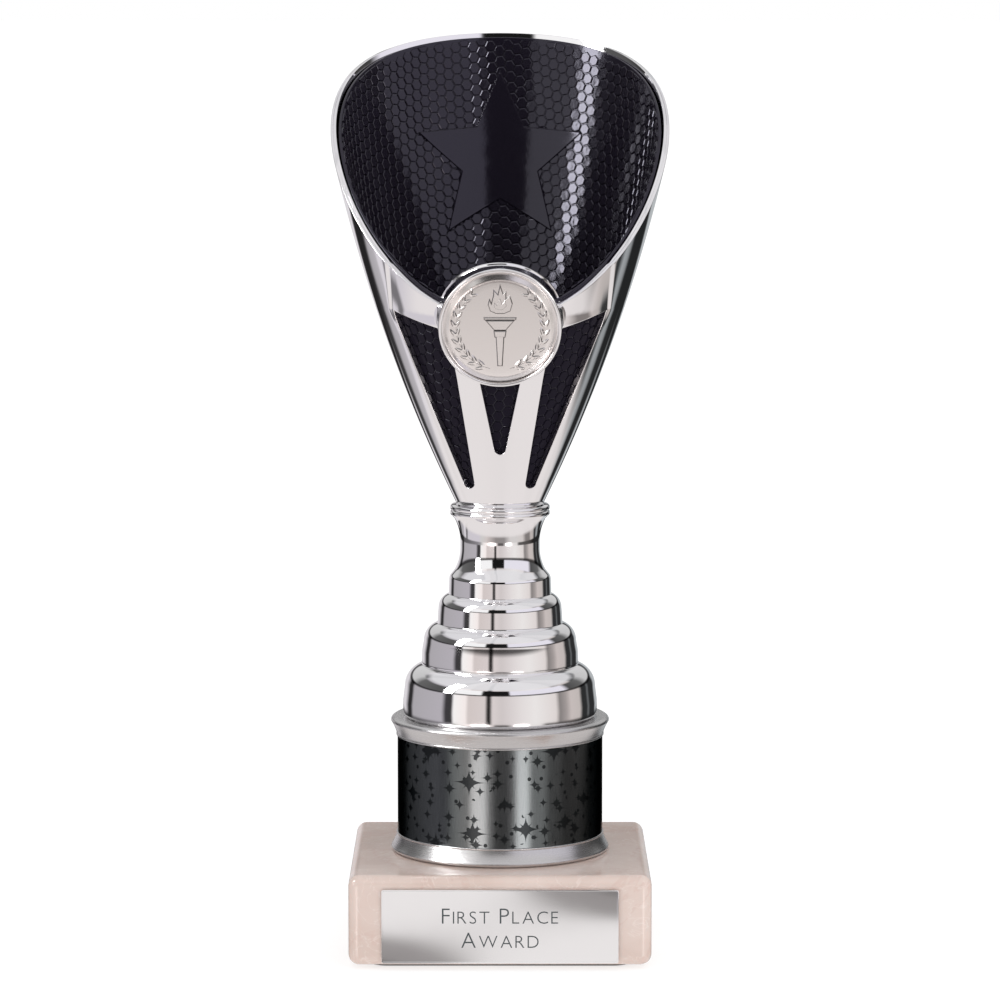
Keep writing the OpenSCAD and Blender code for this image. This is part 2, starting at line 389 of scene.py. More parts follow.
class Finish:
    """A material or world, its node tree and short ways to add nodes."""

    def __init__(self, holder):
        holder.use_nodes = True
        self.holder = holder
        self.tree = holder.node_tree

    def add(self, kind, settings=None, inputs=None, output=0):
        """Adds a node, with its settings first, and returns one of its outputs."""
        made = self.tree.nodes.new("ShaderNode" + kind)
        for key, setting in (settings or {}).items():
            if key == "stops":
                self.set_stops(made.color_ramp, setting)
            else:
                setattr(made, key, setting)
        for key, value in (inputs or {}).items():
            self.feed(made.inputs[key], value)
        return Value(self, made.outputs[output])

    def feed(self, socket, value):
        if isinstance(value, Value):
            self.tree.links.new(value.socket, socket)
        elif isinstance(value, (tuple, list)) and len(value) == 3 and socket.type == "RGBA":
            socket.default_value = (*value, 1)
        elif value is not None:
            socket.default_value = value

    def set_stops(self, ramp, stops):
        """Sets a ramp's stops: a place, and a grey or a colour."""
        while len(ramp.elements) < len(stops):
            ramp.elements.new(1)
        for element, (place, shade) in zip(ramp.elements, stops):
            element.position = place
            shade = shade if isinstance(shade, tuple) else (shade,) * 3
            element.color = (*shade, 1)

    def math(self, operation, *values):
        return self.add("Math", {"operation": operation}, dict(enumerate(values)))

    def ramp(self, value, stops):
        return self.add("ValToRGB", {"stops": stops}, {"Fac": value})

    def mix(self, factor, a, b, blend="MIX"):
        """Mixes two colours."""
        return self.add("Mix", {"data_type": "RGBA", "blend_type": blend},
                        {0: factor, 6: a, 7: b}, output=2)

    def split(self, vector):
        made = self.tree.nodes.new("ShaderNodeSeparateXYZ")
        self.tree.links.new(vector.socket, made.inputs[0])
        return [Value(self, out) for out in made.outputs]

    def join(self, x, y, z=0):
        return self.add("CombineXYZ", None, {0: x, 1: y, 2: z})

    def place(self):
        """The piece's own coordinates, in metres."""
        return self.add("TexCoord", output="Object")

    def noise(self, vector, scale, detail=2.0, roughness=0.5, distortion=0.0, output="Fac"):
        return self.add("TexNoise", None, {"Vector": vector, "Scale": scale, "Detail": detail,
                                           "Roughness": roughness, "Distortion": distortion},
                        output=output)

    def bump(self, height, distance, strength=1.0):
        return self.add("Bump", None, {"Height": height, "Distance": distance,
                                       "Strength": strength})


def surface(name, inputs):
    """A new material's finish, with these values set on its shader."""
    finish = Finish(bpy.data.materials.new(name))
    shader = finish.tree.nodes["Principled BSDF"]
    finish.set = lambda key, value: finish.feed(shader.inputs[key], value)
    for key, value in inputs.items():
        finish.set(key, value)
    return finish


def chrome(name="bright_plate", waves=0.35):
    """Bright plating, very slightly wavy."""
    colours = bpy.context.scene.trophy_colours
    f = surface(name, {"Base Color": tuple(colours.chrome), "Metallic": 1.0})
    at = f.place()
    f.set("Roughness", f.noise(at, 90, 3) * 0.05 + 0.03)
    f.set("Normal", f.bump(f.noise(at, 38, 2), waves * 0.1 * MM))
    return f.holder


def satin():
    """Turned aluminium: fine lines run round the axis."""
    colours = bpy.context.scene.trophy_colours
    f = surface("turned_metal", {"Metallic": 1.0})
    x, y, z = f.split(f.place())
    reach = f.math("SQRT", x * x + y * y)
    lines = f.noise(f.join(reach * 9000, z * 9000), 1.0, 3, 0.7)
    cloud = f.noise(f.place(), 160, 3)
    f.set("Base Color", f.mix(lines, tuple(c * 0.8 for c in colours.satin),
                              tuple(colours.satin)))
    f.set("Roughness", lines * 0.14 + cloud * 0.08 + 0.16)
    f.set("Normal", f.bump(lines, 0.006 * MM))
    return f.holder


def gloss_liner(name="gloss_liner", shine=0.5):
    """Glossy near-black plastic."""
    colours = bpy.context.scene.trophy_colours
    f = surface(name, {"Base Color": tuple(colours.liner), "Specular IOR Level": shine,
                       "Specular Tint": (0.86, 0.84, 1.0)})
    at = f.place()
    f.set("Roughness", f.noise(at, 420, 3) * 0.10 + 0.07)
    f.set("Normal", f.bump(f.noise(at, 700, 2), 0.02 * MM))
    return f.holder


def star_mask(f, u, v, scale, points, reach, across=1.0, shift=0.0):
    """Printed stars: one in each cell of a scattered pattern, with four or eight points."""
    at = f.join(u * scale + shift, v * scale)
    cells = f.add("TexVoronoi", {"voronoi_dimensions": "2D"}, {"Vector": at, "Scale": 1.0,
                                                                "Randomness": 0.75},
                  output="Position")
    chance = f.add("TexWhiteNoise", {"noise_dimensions": "2D"}, {"Vector": cells})
    own = f.split(f.add("VectorMath", {"operation": "SUBTRACT"}, {0: at, 1: cells}))
    size = chance * 0.7 + 0.45
    x, y = abs(own[0]) * (1 / across), abs(own[1])
    plus = x**0.42 + y**0.42 - (size * reach) ** 0.42
    mask = plus < 0
    if points == 8:
        ax, ay = abs(own[0] + own[1]), abs(own[0] - own[1])
        cross = ax**0.42 + ay**0.42 - (size * reach) ** 0.42
        mask = f.math("MAXIMUM", mask, cross < 0)
    return mask * (chance > 0.3)


def printed_foil():
    """Dark brushed foil, printed with a scatter of darker stars and dots."""
    colours = bpy.context.scene.trophy_colours
    f = surface("printed_foil", {"Metallic": 1.0, "Specular Tint": (0.12, 0.12, 0.12)})
    u, v, _ = f.split(f.add("UVMap"))
    stars = star_mask(f, u, v, 112, 8, 0.40, across=1.2)
    stars = f.math("MAXIMUM", stars, star_mask(f, u, v, 250, 4, 0.42, shift=3.7))
    stars = f.math("MAXIMUM", stars, star_mask(f, u, v, 160, 8, 0.34, shift=9.1))
    dots = f.join(u * 230 + 5.3, v * 230)
    near = f.add("TexVoronoi", {"voronoi_dimensions": "2D"}, {"Vector": dots, "Scale": 1.0},
                 output="Distance")
    patches = f.noise(f.join(u, v), 160, 1)
    stars = f.math("MAXIMUM", stars, (near < 0.10) * (patches > 0.42))
    grain = f.noise(f.join(u * 5200, v * 260), 1.0, 2, 0.6)
    metal = f.mix(grain, tuple(c * 0.62 for c in colours.foil), tuple(colours.foil))
    f.set("Base Color", f.mix(stars, metal, tuple(colours.foil_star)))
    f.set("Roughness", grain * 0.07 + stars * 0.08 + 0.115)
    f.set("Normal", f.bump(grain, 0.004 * MM))
    return f.holder


def marble():
    """Pale polished stone: soft clouds, thin veins and a few pits."""
    colours = bpy.context.scene.trophy_colours
    f = surface("polished_marble", {"Specular IOR Level": 0.5, "Subsurface Weight": 0.12,
                                    "Subsurface Scale": 3 * MM,
                                    "Subsurface Radius": (1.0, 0.6, 0.5)})
    at = f.place()
    clouds = f.noise(at, 38, 5, 0.55, 0.6)
    stone = f.mix(f.ramp(clouds, [(0.34, 0.0), (0.70, 1.0)]), tuple(colours.marble),
                  tuple(colours.marble_pale))
    lines = abs(f.noise(at, 24, 6, 0.6, 1.3) - 0.5)
    veins = f.ramp(lines, [(0.0, 0.22), (0.02, 0.0)])
    fine = f.ramp(abs(f.noise(at, 75, 4, 0.6, 2.0) - 0.48), [(0.0, 0.28), (0.010, 0.0)])
    stone = f.mix(veins, stone, tuple(colours.marble_vein))
    stone = f.mix(fine, stone, (0.93, 0.86, 0.82))
    speck = f.noise(at, 900, 2)
    f.set("Base Color", f.mix(f.ramp(speck, [(0.68, 0.0), (0.78, 0.22)]), stone,
                              tuple(colours.marble_vein)))
    f.set("Roughness", clouds * 0.08 + 0.10)
    f.set("Normal", f.bump(f.noise(at, 120, 3), 0.03 * MM))
    return f.holder


def plate_metal():
    """Mirror plate, gently bowed so that its reflections bend."""
    f = surface("mirror_plate", {"Base Color": (0.98, 0.99, 1.0), "Metallic": 1.0})
    at = f.place()
    f.set("Roughness", f.noise(at, 260, 3) * 0.05 + 0.13)
    x, _, z = f.split(at)
    z = z - (PLATE[0].z + PLATE[1].z) / 2
    twist = x * z * z * -420
    broad = f.noise(f.add("Mapping", None, {"Vector": at, "Scale": (0.5, 1, 1.6)}), 22, 1)
    f.set("Normal", f.bump(z * 0.18 + twist + broad * 0.0006, 1.0))
    return f.holder


def medal_metal():
    """Struck metal, with painted shade darkening every face that turns away from the seat's axis:
    the relief's steep flanks and the rolled edge.
    """
    colours = bpy.context.scene.trophy_colours
    f = surface("struck_metal", {"Metallic": 1.0})
    at = f.place()
    cloud = f.noise(at, 300, 3)
    turn = math.pi / 2 + bpy.context.scene.trophy_medal.tilt
    ahead = f.add("VectorMath", {"operation": "DOT_PRODUCT"},
                  {0: f.add("TexCoord", output="Normal"),
                   1: (0, -math.sin(turn), math.cos(turn))}, output="Value")
    metal = f.mix(cloud, tuple(c * 0.94 for c in colours.medal), tuple(colours.medal))
    # Painted shade: faces more than about 26 degrees off the seat's axis blend towards a dark copy
    # of the medal colour, fully dark past about 42 degrees
    painted_flank_shade = f.ramp(ahead, [(0.74, 0.0), (0.90, 1.0)])
    f.set("Base Color", f.mix(painted_flank_shade, tuple(c * 0.36 for c in colours.medal), metal))
    f.set("Roughness", cloud * 0.06 + 0.20)
    f.set("Normal", f.bump(f.noise(at, 2600, 2), 0.004 * MM))
    return f.holder


def zinc():
    """Zinc plating with a faint spangle."""
    f = surface("zinc_plate", {"Metallic": 1.0})
    at = f.place()
    spangle = f.add("TexVoronoi", None, {"Vector": at, "Scale": 900})
    f.set("Base Color", f.mix(spangle, (0.52, 0.54, 0.56), (0.66, 0.67, 0.66)))
    f.set("Roughness", f.noise(at, 700, 3) * 0.2 + 0.26)
    return f.holder


def rubber():
    """Matt black rubber."""
    f = surface("black_rubber", {"Specular IOR Level": 0.3})
    at = f.place()
    grain = f.noise(at, 1500, 3)
    f.set("Base Color", f.mix(grain, (0.018, 0.018, 0.019), (0.035, 0.034, 0.034)))
    f.set("Roughness", grain * 0.2 + 0.62)
    f.set("Normal", f.bump(grain, 0.03 * MM))
    return f.holder


def paper(name, light, dark):
    """Card or foam tape: matt, with a fine fibre."""
    f = surface(name, {"Specular IOR Level": 0.2})
    at = f.place()
    fibre = f.noise(f.add("Mapping", None, {"Vector": at, "Scale": (1, 1, 6)}), 500, 4)
    f.set("Base Color", f.mix(fibre, dark, light))
    f.set("Roughness", fibre * 0.1 + 0.8)
    f.set("Normal", f.bump(fibre, 0.02 * MM))
    return f.holder


def ink():
    """Dark filling of the engraved letters."""
    colours = bpy.context.scene.trophy_colours
    f = surface("engraved_letter", {})
    grain = f.noise(f.place(), 1800, 2)
    f.set("Base Color", f.mix(grain, tuple(c * 0.8 for c in colours.letters),
                              tuple(colours.letters)))
    f.set("Roughness", grain * 0.1 + 0.45)
    return f.holder


# ---------------------------------------------------------------- base


class TROPHY_OT_base(bpy.types.Operator):
    """Makes the marble block and the rubber pad under it"""

    bl_idname = "trophy.base"
    bl_label = "Marble base"

    def execute(self, context):
        sizes = context.scene.trophy_base
        self.block(sizes)
        self.pad(sizes)
        return {"FINISHED"}

    def block(self, sizes):
        low, high = BLOCK
        bm = box_mesh(low, high)
        size = high - low
        level = [f for f in bm.faces if abs(f.normal.z) > 0.9]
        under, top = sorted(level, key=lambda f: f.calc_center_median().z)
        bmesh.ops.inset_region(bm, faces=[under], thickness=size.x * 0.2, depth=0)
        bmesh.ops.inset_region(bm, faces=[top], thickness=size.x * 0.2, depth=0)
        self.open_hole(bm, under, sizes.pocket, low.z)
        self.open_hole(bm, top, sizes.hole, high.z)
        ceiling = low.z + sizes.pocket_depth
        self.wall(bm, sizes.pocket, low.z, ceiling)
        self.ledge(bm, sizes.pocket, sizes.hole, ceiling)
        self.wall(bm, sizes.hole, ceiling, high.z)
        closed_faces(bm)
        outside = [e for e in bm.edges if e.calc_length() > 0.25 * size.z
                   and e.is_manifold and e.calc_face_angle() > 1
                   and all(max(abs(v.co.x), abs(v.co.y)) > size.x * 0.49 for v in e.verts)]
        bevel(bm, outside, sizes.edge, 6)
        piece("marble_block", bm, marble(), ["marble_base"])

    def open_hole(self, bm, face, radius, z):
        """Cuts a round hole in a square face."""
        border = list(face.edges)
        bm.faces.remove(face)
        bmesh.ops.bridge_loops(bm, edges=border + ring(bm, radius, z))

    def wall(self, bm, radius, low, high):
        """The side of a round hole."""
        bmesh.ops.bridge_loops(bm, edges=ring(bm, radius, low) + ring(bm, radius, high))

    def ledge(self, bm, outer, inner, z):
        """A level step between two round holes."""
        bmesh.ops.bridge_loops(bm, edges=ring(bm, outer, z) + ring(bm, inner, z))

    def pad(self, sizes):
        bm = box_mesh(*PAD)
        corners = [e for e in bm.edges if abs(e.verts[0].co.z - e.verts[1].co.z) > 1e-5]
        bevel(bm, corners, sizes.pad_corner, 8)
        level = [e for e in bm.edges if abs(e.verts[0].co.z - e.verts[1].co.z) < 1e-6
                 and e.calc_face_angle() > 1]
        bevel(bm, level, 0.12 * MM, 2)
        piece("rubber_pad", bm, rubber(), ["base_pad"])


class TROPHY_OT_plate(bpy.types.Operator):
    """Makes the engraving plate, its tape and its engraved lines"""

    bl_idname = "trophy.plate"
    bl_label = "Engraving plate"

    # Shares of the first letter's height: other letters, and the gaps after a letter and a word
    SMALL_CAPITAL, LETTER_GAP, WORD_GAP = 0.80, 0.19, 0.42
    # How deep the engraved field lies, and where the two lines stand from the plate's middle
    SUNK = 0.05 * MM
    LINE_1, LINE_2 = 0.65 * MM, -4.75 * MM

    def execute(self, context):
        sizes = context.scene.trophy_base
        low, high = PLATE
        bm = box_mesh(low, high)
        corners = [e for e in bm.edges if abs(e.verts[0].co.y - e.verts[1].co.y) > 1e-5]
        bevel(bm, corners, 0.4 * MM, 3)
        front = min(bm.faces, key=lambda f: f.calc_center_median().y)
        bmesh.ops.inset_region(bm, faces=[front], thickness=sizes.plate_frame, depth=0)
        bmesh.ops.inset_region(bm, faces=[front], thickness=0.06 * MM, depth=-self.SUNK)
        rim = [e for e in bm.edges if e.calc_face_angle() > 1.2
               and all(v.co.y < low.y + 1e-5 for v in e.verts)]
        bevel(bm, rim, 0.05 * MM, 2)
        piece("name_plate", bm, plate_metal(), ["engraving_plate"])
        finish = ink()
        middle = (low.z + high.z) / 2
        for line, words, up in ((1, sizes.line_1, self.LINE_1), (2, sizes.line_2, self.LINE_2)):
            self.letter_line(f"letters_{line}", words, sizes, middle + up, low.y + self.SUNK,
                             finish)
        keep_node("plate_tape", paper("foam_tape", (0.80, 0.80, 0.78), (0.70, 0.70, 0.68)))
        return {"FINISHED"}

    def letter_line(self, name, words, sizes, z, y, finish):
        """One engraved line in capitals, the first of each word taller, centred on the plate."""
        bm = bmesh.new()
        start = 0.0
        for word in words.split():
            for i, letter in enumerate(word):
                tall = 1.0 if i == 0 else self.SMALL_CAPITAL
                glyph = self.glyph(letter, sizes.capital * tall)
                glyph.transform(Matrix.Translation((start - min(v.co.x for v in glyph.verts),
                                                    0, 0)))
                start = max(v.co.x for v in glyph.verts) + sizes.capital * self.LETTER_GAP
                take_in(bm, glyph)
            start += sizes.capital * self.WORD_GAP
        wide = max(v.co.x for v in bm.verts)
        bm.transform(Matrix.Translation((-wide / 2, 0, 0)))
        bm.transform(Matrix.Translation((0, y, z)) @ Matrix.Rotation(math.pi / 2, 4, "X"))
        piece(name, bm, finish, weighted=False)

    def glyph(self, letter, height):
        """A letter's mesh, standing on the x axis, in thin strokes."""
        text = bpy.data.curves.new("letter", "FONT")
        text.body = letter
        text.size = height / 0.73
        text.offset = -0.014 * text.size
        text.extrude = 0.03 * MM
        text.resolution_u = 4
        holder = bpy.data.objects.new("letter", text)
        bpy.context.collection.objects.link(holder)
        bpy.context.view_layer.update()
        mesh = holder.to_mesh()
        bm = bmesh.new()
        bm.from_mesh(mesh)
        bmesh.ops.remove_doubles(bm, verts=bm.verts, dist=SAME)
        holder.to_mesh_clear()
        bpy.data.objects.remove(holder)
        bpy.data.curves.remove(text)
        return bm


# ---------------------------------------------------------------- column and riser


class TROPHY_OT_column(bpy.types.Operator):
    """Makes the two flared caps and the printed foil between them"""

    bl_idname = "trophy.column"
    bl_label = "Column"

    def execute(self, context):
        finish = satin()
        self.cap("lower_cap_turned", LOWER_CAP[0].z, 1, finish, "lower_cap")
        self.cap("upper_cap_turned", LIP_Z, -1, finish, "upper_cap")
        self.foil()
        keep_node("column_tube", paper("card_tube", (0.46, 0.34, 0.22), (0.34, 0.25, 0.16)))
        return {"FINISHED"}

    def cap(self, name, z, way, finish, node):
        """A flared cap lying on its lip at z; way is 1 with the skirt up and -1 with it down."""
        lip = LOWER_CAP[1].x
        tube = FOIL[1].x
        height = FOIL[0].z - LOWER_CAP[0].z
        skirt = tube - 1.95 * MM
        flare = [(lip - (lip - tube) * t * (1.35 - 0.35 * t), (height - 0.8 * MM) * t + 0.8 * MM)
                 for t in (i / 10 for i in range(10))]
        outline = [(ROD_HOLE, 0), (lip - 0.7 * MM, 0), (lip - 0.15 * MM, 0.35 * MM), *flare,
                   (tube + 0.02 * MM, height - 0.5 * MM), (tube + 0.28 * MM, height - 0.42 * MM),
                   (tube + 0.30 * MM, height - 0.05 * MM), (tube + 0.05 * MM, height),
                   (skirt, height), (skirt, height + 6 * MM), (skirt - 1.2 * MM, height + 6 * MM),
                   (skirt - 1.2 * MM, 1.6 * MM), (6.5 * MM, 1.6 * MM), (6.5 * MM, 5.6 * MM),
                   (ROD_HOLE, 5.6 * MM)]
        outline = [(r, z + way * h) for r, h in eased(outline, 0.18 * MM, 3)]
        piece(name, lathe(outline), finish, [node])

    def foil(self):
        low, high = FOIL
        radius = high.x
        wall = 0.3 * MM
        outline = [(radius, low.z), (radius, high.z), (radius - wall, high.z),
                   (radius - wall, low.z)]
        bm = lathe(outline, 192)
        chart = bm.loops.layers.uv.new("UVMap")
        for face in bm.faces:
            middle = sweep_angle(face.calc_center_median())
            for loop in face.loops:
                turn = sweep_angle(loop.vert.co)
                turn += TAU * round((middle - turn) / TAU)
                loop[chart].uv = (turn * radius, loop.vert.co.z - low.z)
        piece("foil_wrap", bm, printed_foil(), ["foil_sleeve"], weighted=False)


class TROPHY_OT_riser(bpy.types.Operator):
    """Makes the stepped riser with its waisted neck and beaded collar"""

    bl_idname = "trophy.riser"
    bl_label = "Riser"

    def execute(self, context):
        outside = [(21.2, 0.0), (21.8, 0.7), (21.8, 3.6), *arc((16.4, 6.9), 5, 0, 78),
                   (17.6, 12.4), (17.5, 15.0), *arc((13.1, 17.2), 4, 0, 76),
                   (14.0, 21.5), (13.9, 23.6), *arc((10.6, 24.6), 3.2, 0, 74),
                   (11.5, 28.2), *arc((9.6, 31.0), 1.8, 0, 45, 6),
                   *arc((19.1, 38.1), 10.2, 209, 180), *arc((20.8, 39.4), 11.9, 180, 153),
                   *arc((10.5, 46.1), 0.7, -60, 60, 8), *arc((10.5, 47.3), 0.7, -60, 80, 8),
                   (9.9, 48.1), (9.4, 48.1), (9.4, 46.5), (3.3, 46.5)]
        hollow = [(3.3, 43.5), (7.3, 42), (7.3, 35), (9.6, 30), (9.8, 27), (12.2, 23.5),
                  (12.4, 19.6), (15.6, 16), (15.8, 11), (18, 9), (20.2, 5), (20.2, 0)]
        outline = [(r * MM, RISER[0].z + h * MM) for r, h in outside + hollow]
        bm = lathe(eased(outline, 0.22 * MM, 4, 24), 176)
        piece("stepped_riser", bm, chrome("riser_plate", 0.2), ["riser"])
        return {"FINISHED"}


# ---------------------------------------------------------------- cup


class TROPHY_OT_shell(bpy.types.Operator):
    """Makes the cup's plated shell with its windows and rolled rim"""

    bl_idname = "trophy.shell"
    bl_label = "Cup shell"

    # Where the window sides run: height above the collar and distance across, in millimetres
    SMALL = [(0, 1.0), (13.8, 1.3), (29.5, 4.5), (60, 5.6), (110, 6.5)]
    INNER = [(0, 5.2), (5.6, 5.7), (30, 9.5), (40.4, 11.5), (60, 12.6), (110, 14)]
    OUTER = [(0, 7.7), (5.6, 8.1), (44.3, 23.7), (58, 24.6), (110, 25.5)]
    LOW, SMALL_LOW, SMALL_TOP = 5.6, 13.8, 29.5
    INNER_TOP, OUTER_TOP = 40.4, 44.3
    # How far the windows' top edge climbs, and how round the windows' lower ends are
    TOP_CLIMB = 3.9
    SLOT_END, SMALL_END = 1.2, 1.3
    # Radius of the rolled rim and the windows' edges, and how far the rim is cut back
    EDGE = 0.38 * MM
    RIM_DROP = 0.25 * MM

    # Columns of the half grid from the front to the back, and rows from the foot to the rim
    COLUMNS = (3, 4, 9, 4, 60)
    ROWS = (5, 6, 12, 8, 22)

    def execute(self, context):
        self.sizes = context.scene.trophy_cup
        self.bowl = Bowl(self.sizes)
        bm = self.half()
        geometry = bm.verts[:] + bm.edges[:] + bm.faces[:]
        bmesh.ops.mirror(bm, geom=geometry, matrix=Matrix(), merge_dist=SAME, axis="X")
        face_out(bm)
        bmesh.ops.solidify(bm, geom=bm.faces[:], thickness=self.sizes.wall)
        self.roll_rim(bm)
        self.round_windows(bm)
        self.foot(bm)
        piece("plated_shell", bm, chrome(), ["cup_shell"], sharp=50)
        return {"FINISHED"}

    def half(self):
        """The right half of the outer surface, open at its windows."""
        across, up = sum(self.COLUMNS), sum(self.ROWS)
        bm = bmesh.new()
        self.on_rim = bm.verts.layers.int.new("on_rim")
        bmesh.ops.create_grid(bm, x_segments=across, y_segments=up, size=1)
        place = {}
        for v in bm.verts:
            place[v] = (round((v.co.x + 1) / 2 * across), round((v.co.y + 1) / 2 * up))
        a1, a2, a3 = self.COLUMNS[0], sum(self.COLUMNS[:2]), sum(self.COLUMNS[:3])
        r1, r2, r3, r4 = (sum(self.ROWS[: i + 1]) for i in range(4))
        holes = []
        for face in bm.faces:
            i = min(place[v][0] for v in face.verts)
            j = min(place[v][1] for v in face.verts)
            if (a2 <= i < a3 and r1 <= j < r4) or (i < a1 and r2 <= j < r3):
                holes.append(face)
        for v, (i, j) in place.items():
            v.co = self.grid_point(i, j)
            v[self.on_rim] = int(j == up)
        bmesh.ops.delete(bm, geom=holes, context="FACES")
        return bm

    def grid_point(self, i, j):
        """Where a corner of the grid lies on the bowl; the windows' ends are rounded."""
        band, part = self.band(i, self.COLUMNS)
        row, rise = self.band(j, self.ROWS)
        dip_low = self.SLOT_END * math.sin(math.pi * part) if band == 2 else 0
        dip_small = self.SMALL_END * math.cos(math.pi / 2 * part) if band == 0 else 0
        climb = self.INNER_TOP + self.TOP_CLIMB * part
        top = {0: self.INNER_TOP, 1: self.INNER_TOP, 2: climb}.get(band, self.OUTER_TOP)
        levels = [0, self.LOW - dip_low, self.SMALL_LOW - dip_small, self.SMALL_TOP, top]
        if row < 4:
            h = levels[row] + (levels[row + 1] - levels[row]) * rise
        else:
            turn = self.turn(band, part, 50)
            for _ in range(6):
                rim = (self.bowl.rim(turn, 0.0, self.RIM_DROP) - COLLAR_Z) / MM
                turn = self.turn(band, part, rim)
            h = top + (rim - top) * rise
        warp = 1.0 if row > 0 else rise**2
        if band == 2 and row == 0 or (band == 2 and row == 1 and rise == 0):
            part += ((1 - math.cos(math.pi * part)) / 2 - part) * warp
        if band == 0 and row == 1 or (band == 0 and row == 2 and rise == 0):
            warp = 1.0 if row > 1 else rise**2
            part += (math.sin(math.pi / 2 * part) - part) * warp
        turn = self.turn(band, part, h)
        z = COLLAR_Z + h * MM
        return self.bowl.point(turn, z, self.step(turn, z))

    def band(self, index, counts):
        """Which group a row or column is in, and how far through it."""
        for group, count in enumerate(counts):
            if index < count or group == len(counts) - 1:
                return group, index / count
            index -= count

    def turn(self, band, part, h):
        """Angle from the front of a place in a band of columns, at a height."""
        r = self.bowl.radius(COLLAR_Z + h * MM) / MM
        lines = [0.0]
        for knots in (self.SMALL, self.INNER, self.OUTER):
            lines.append(math.asin(min(0.97, between(knots, h) / r)))
        lines.append(lines[-1] + 1.6 / r)
        lines.append(math.pi)
        return lines[band] + (lines[band + 1] - lines[band]) * part

    def step(self, turn, z):
        """The band over the windows sits slightly behind the sides."""
        h = (z - COLLAR_Z) / MM
        x = self.bowl.radius(z) / MM * math.sin(turn)
        if turn > math.pi / 2 or h < self.OUTER_TOP - 6:
            return 0.0
        edge = between(self.OUTER, h)
        fade = smooth_step((h - self.OUTER_TOP + 3) / 3)
        return 0.32 * MM * fade * (1 - smooth_step((x - edge) / 1.0))

    def roll_rim(self, bm):
        """Rolls the rim: a round outer bead, a fine groove and a flat inner band."""
        self.on_rim = bm.verts.layers.int["on_rim"]
        strip = [f for f in bm.faces if all(v[self.on_rim] for v in f.verts)]
        sharp = [e for e in bm.edges if all(v[self.on_rim] for v in e.verts)
                 and len({f in strip for f in e.link_faces}) == 2]
        bmesh.ops.inset_region(bm, faces=strip, thickness=0.55 * MM, depth=0,
                               use_even_offset=True, use_boundary=True)
        bmesh.ops.inset_region(bm, faces=strip, thickness=0.05 * MM, depth=-0.22 * MM,
                               use_even_offset=True, use_boundary=True)
        bevel(bm, [e for e in sharp if e.is_valid], self.EDGE, 4)

    def round_windows(self, bm):
        """Rounds the outer edges of the windows."""
        edges = []
        for e in bm.edges:
            middle = (e.verts[0].co + e.verts[1].co) / 2
            h = (middle.z - COLLAR_Z) / MM
            if e.is_manifold and e.calc_face_angle() > 0.9 and 3 < h < 45.2:
                ends = [self.bowl.inset(v.co) for v in e.verts]
                if max(ends) < 0.4 * MM and not any(v[self.on_rim] for v in e.verts):
                    edges.append(e)
        bevel(bm, edges, self.EDGE, 3)

    def foot(self, bm):
        """The floor of the shell and the spigot that sits in the riser's collar."""
        inner = self.bowl.radius(COLLAR_Z + 1.5 * MM, 0.6 * MM)
        outline = [(ROD_HOLE, -1.6 * MM), (9.3 * MM, -1.6 * MM), (9.3 * MM, 0.2 * MM),
                   (inner, 1.5 * MM), (ROD_HOLE, 1.5 * MM)]
        take_in(bm, lathe([(r, COLLAR_Z + h) for r, h in outline], 96))


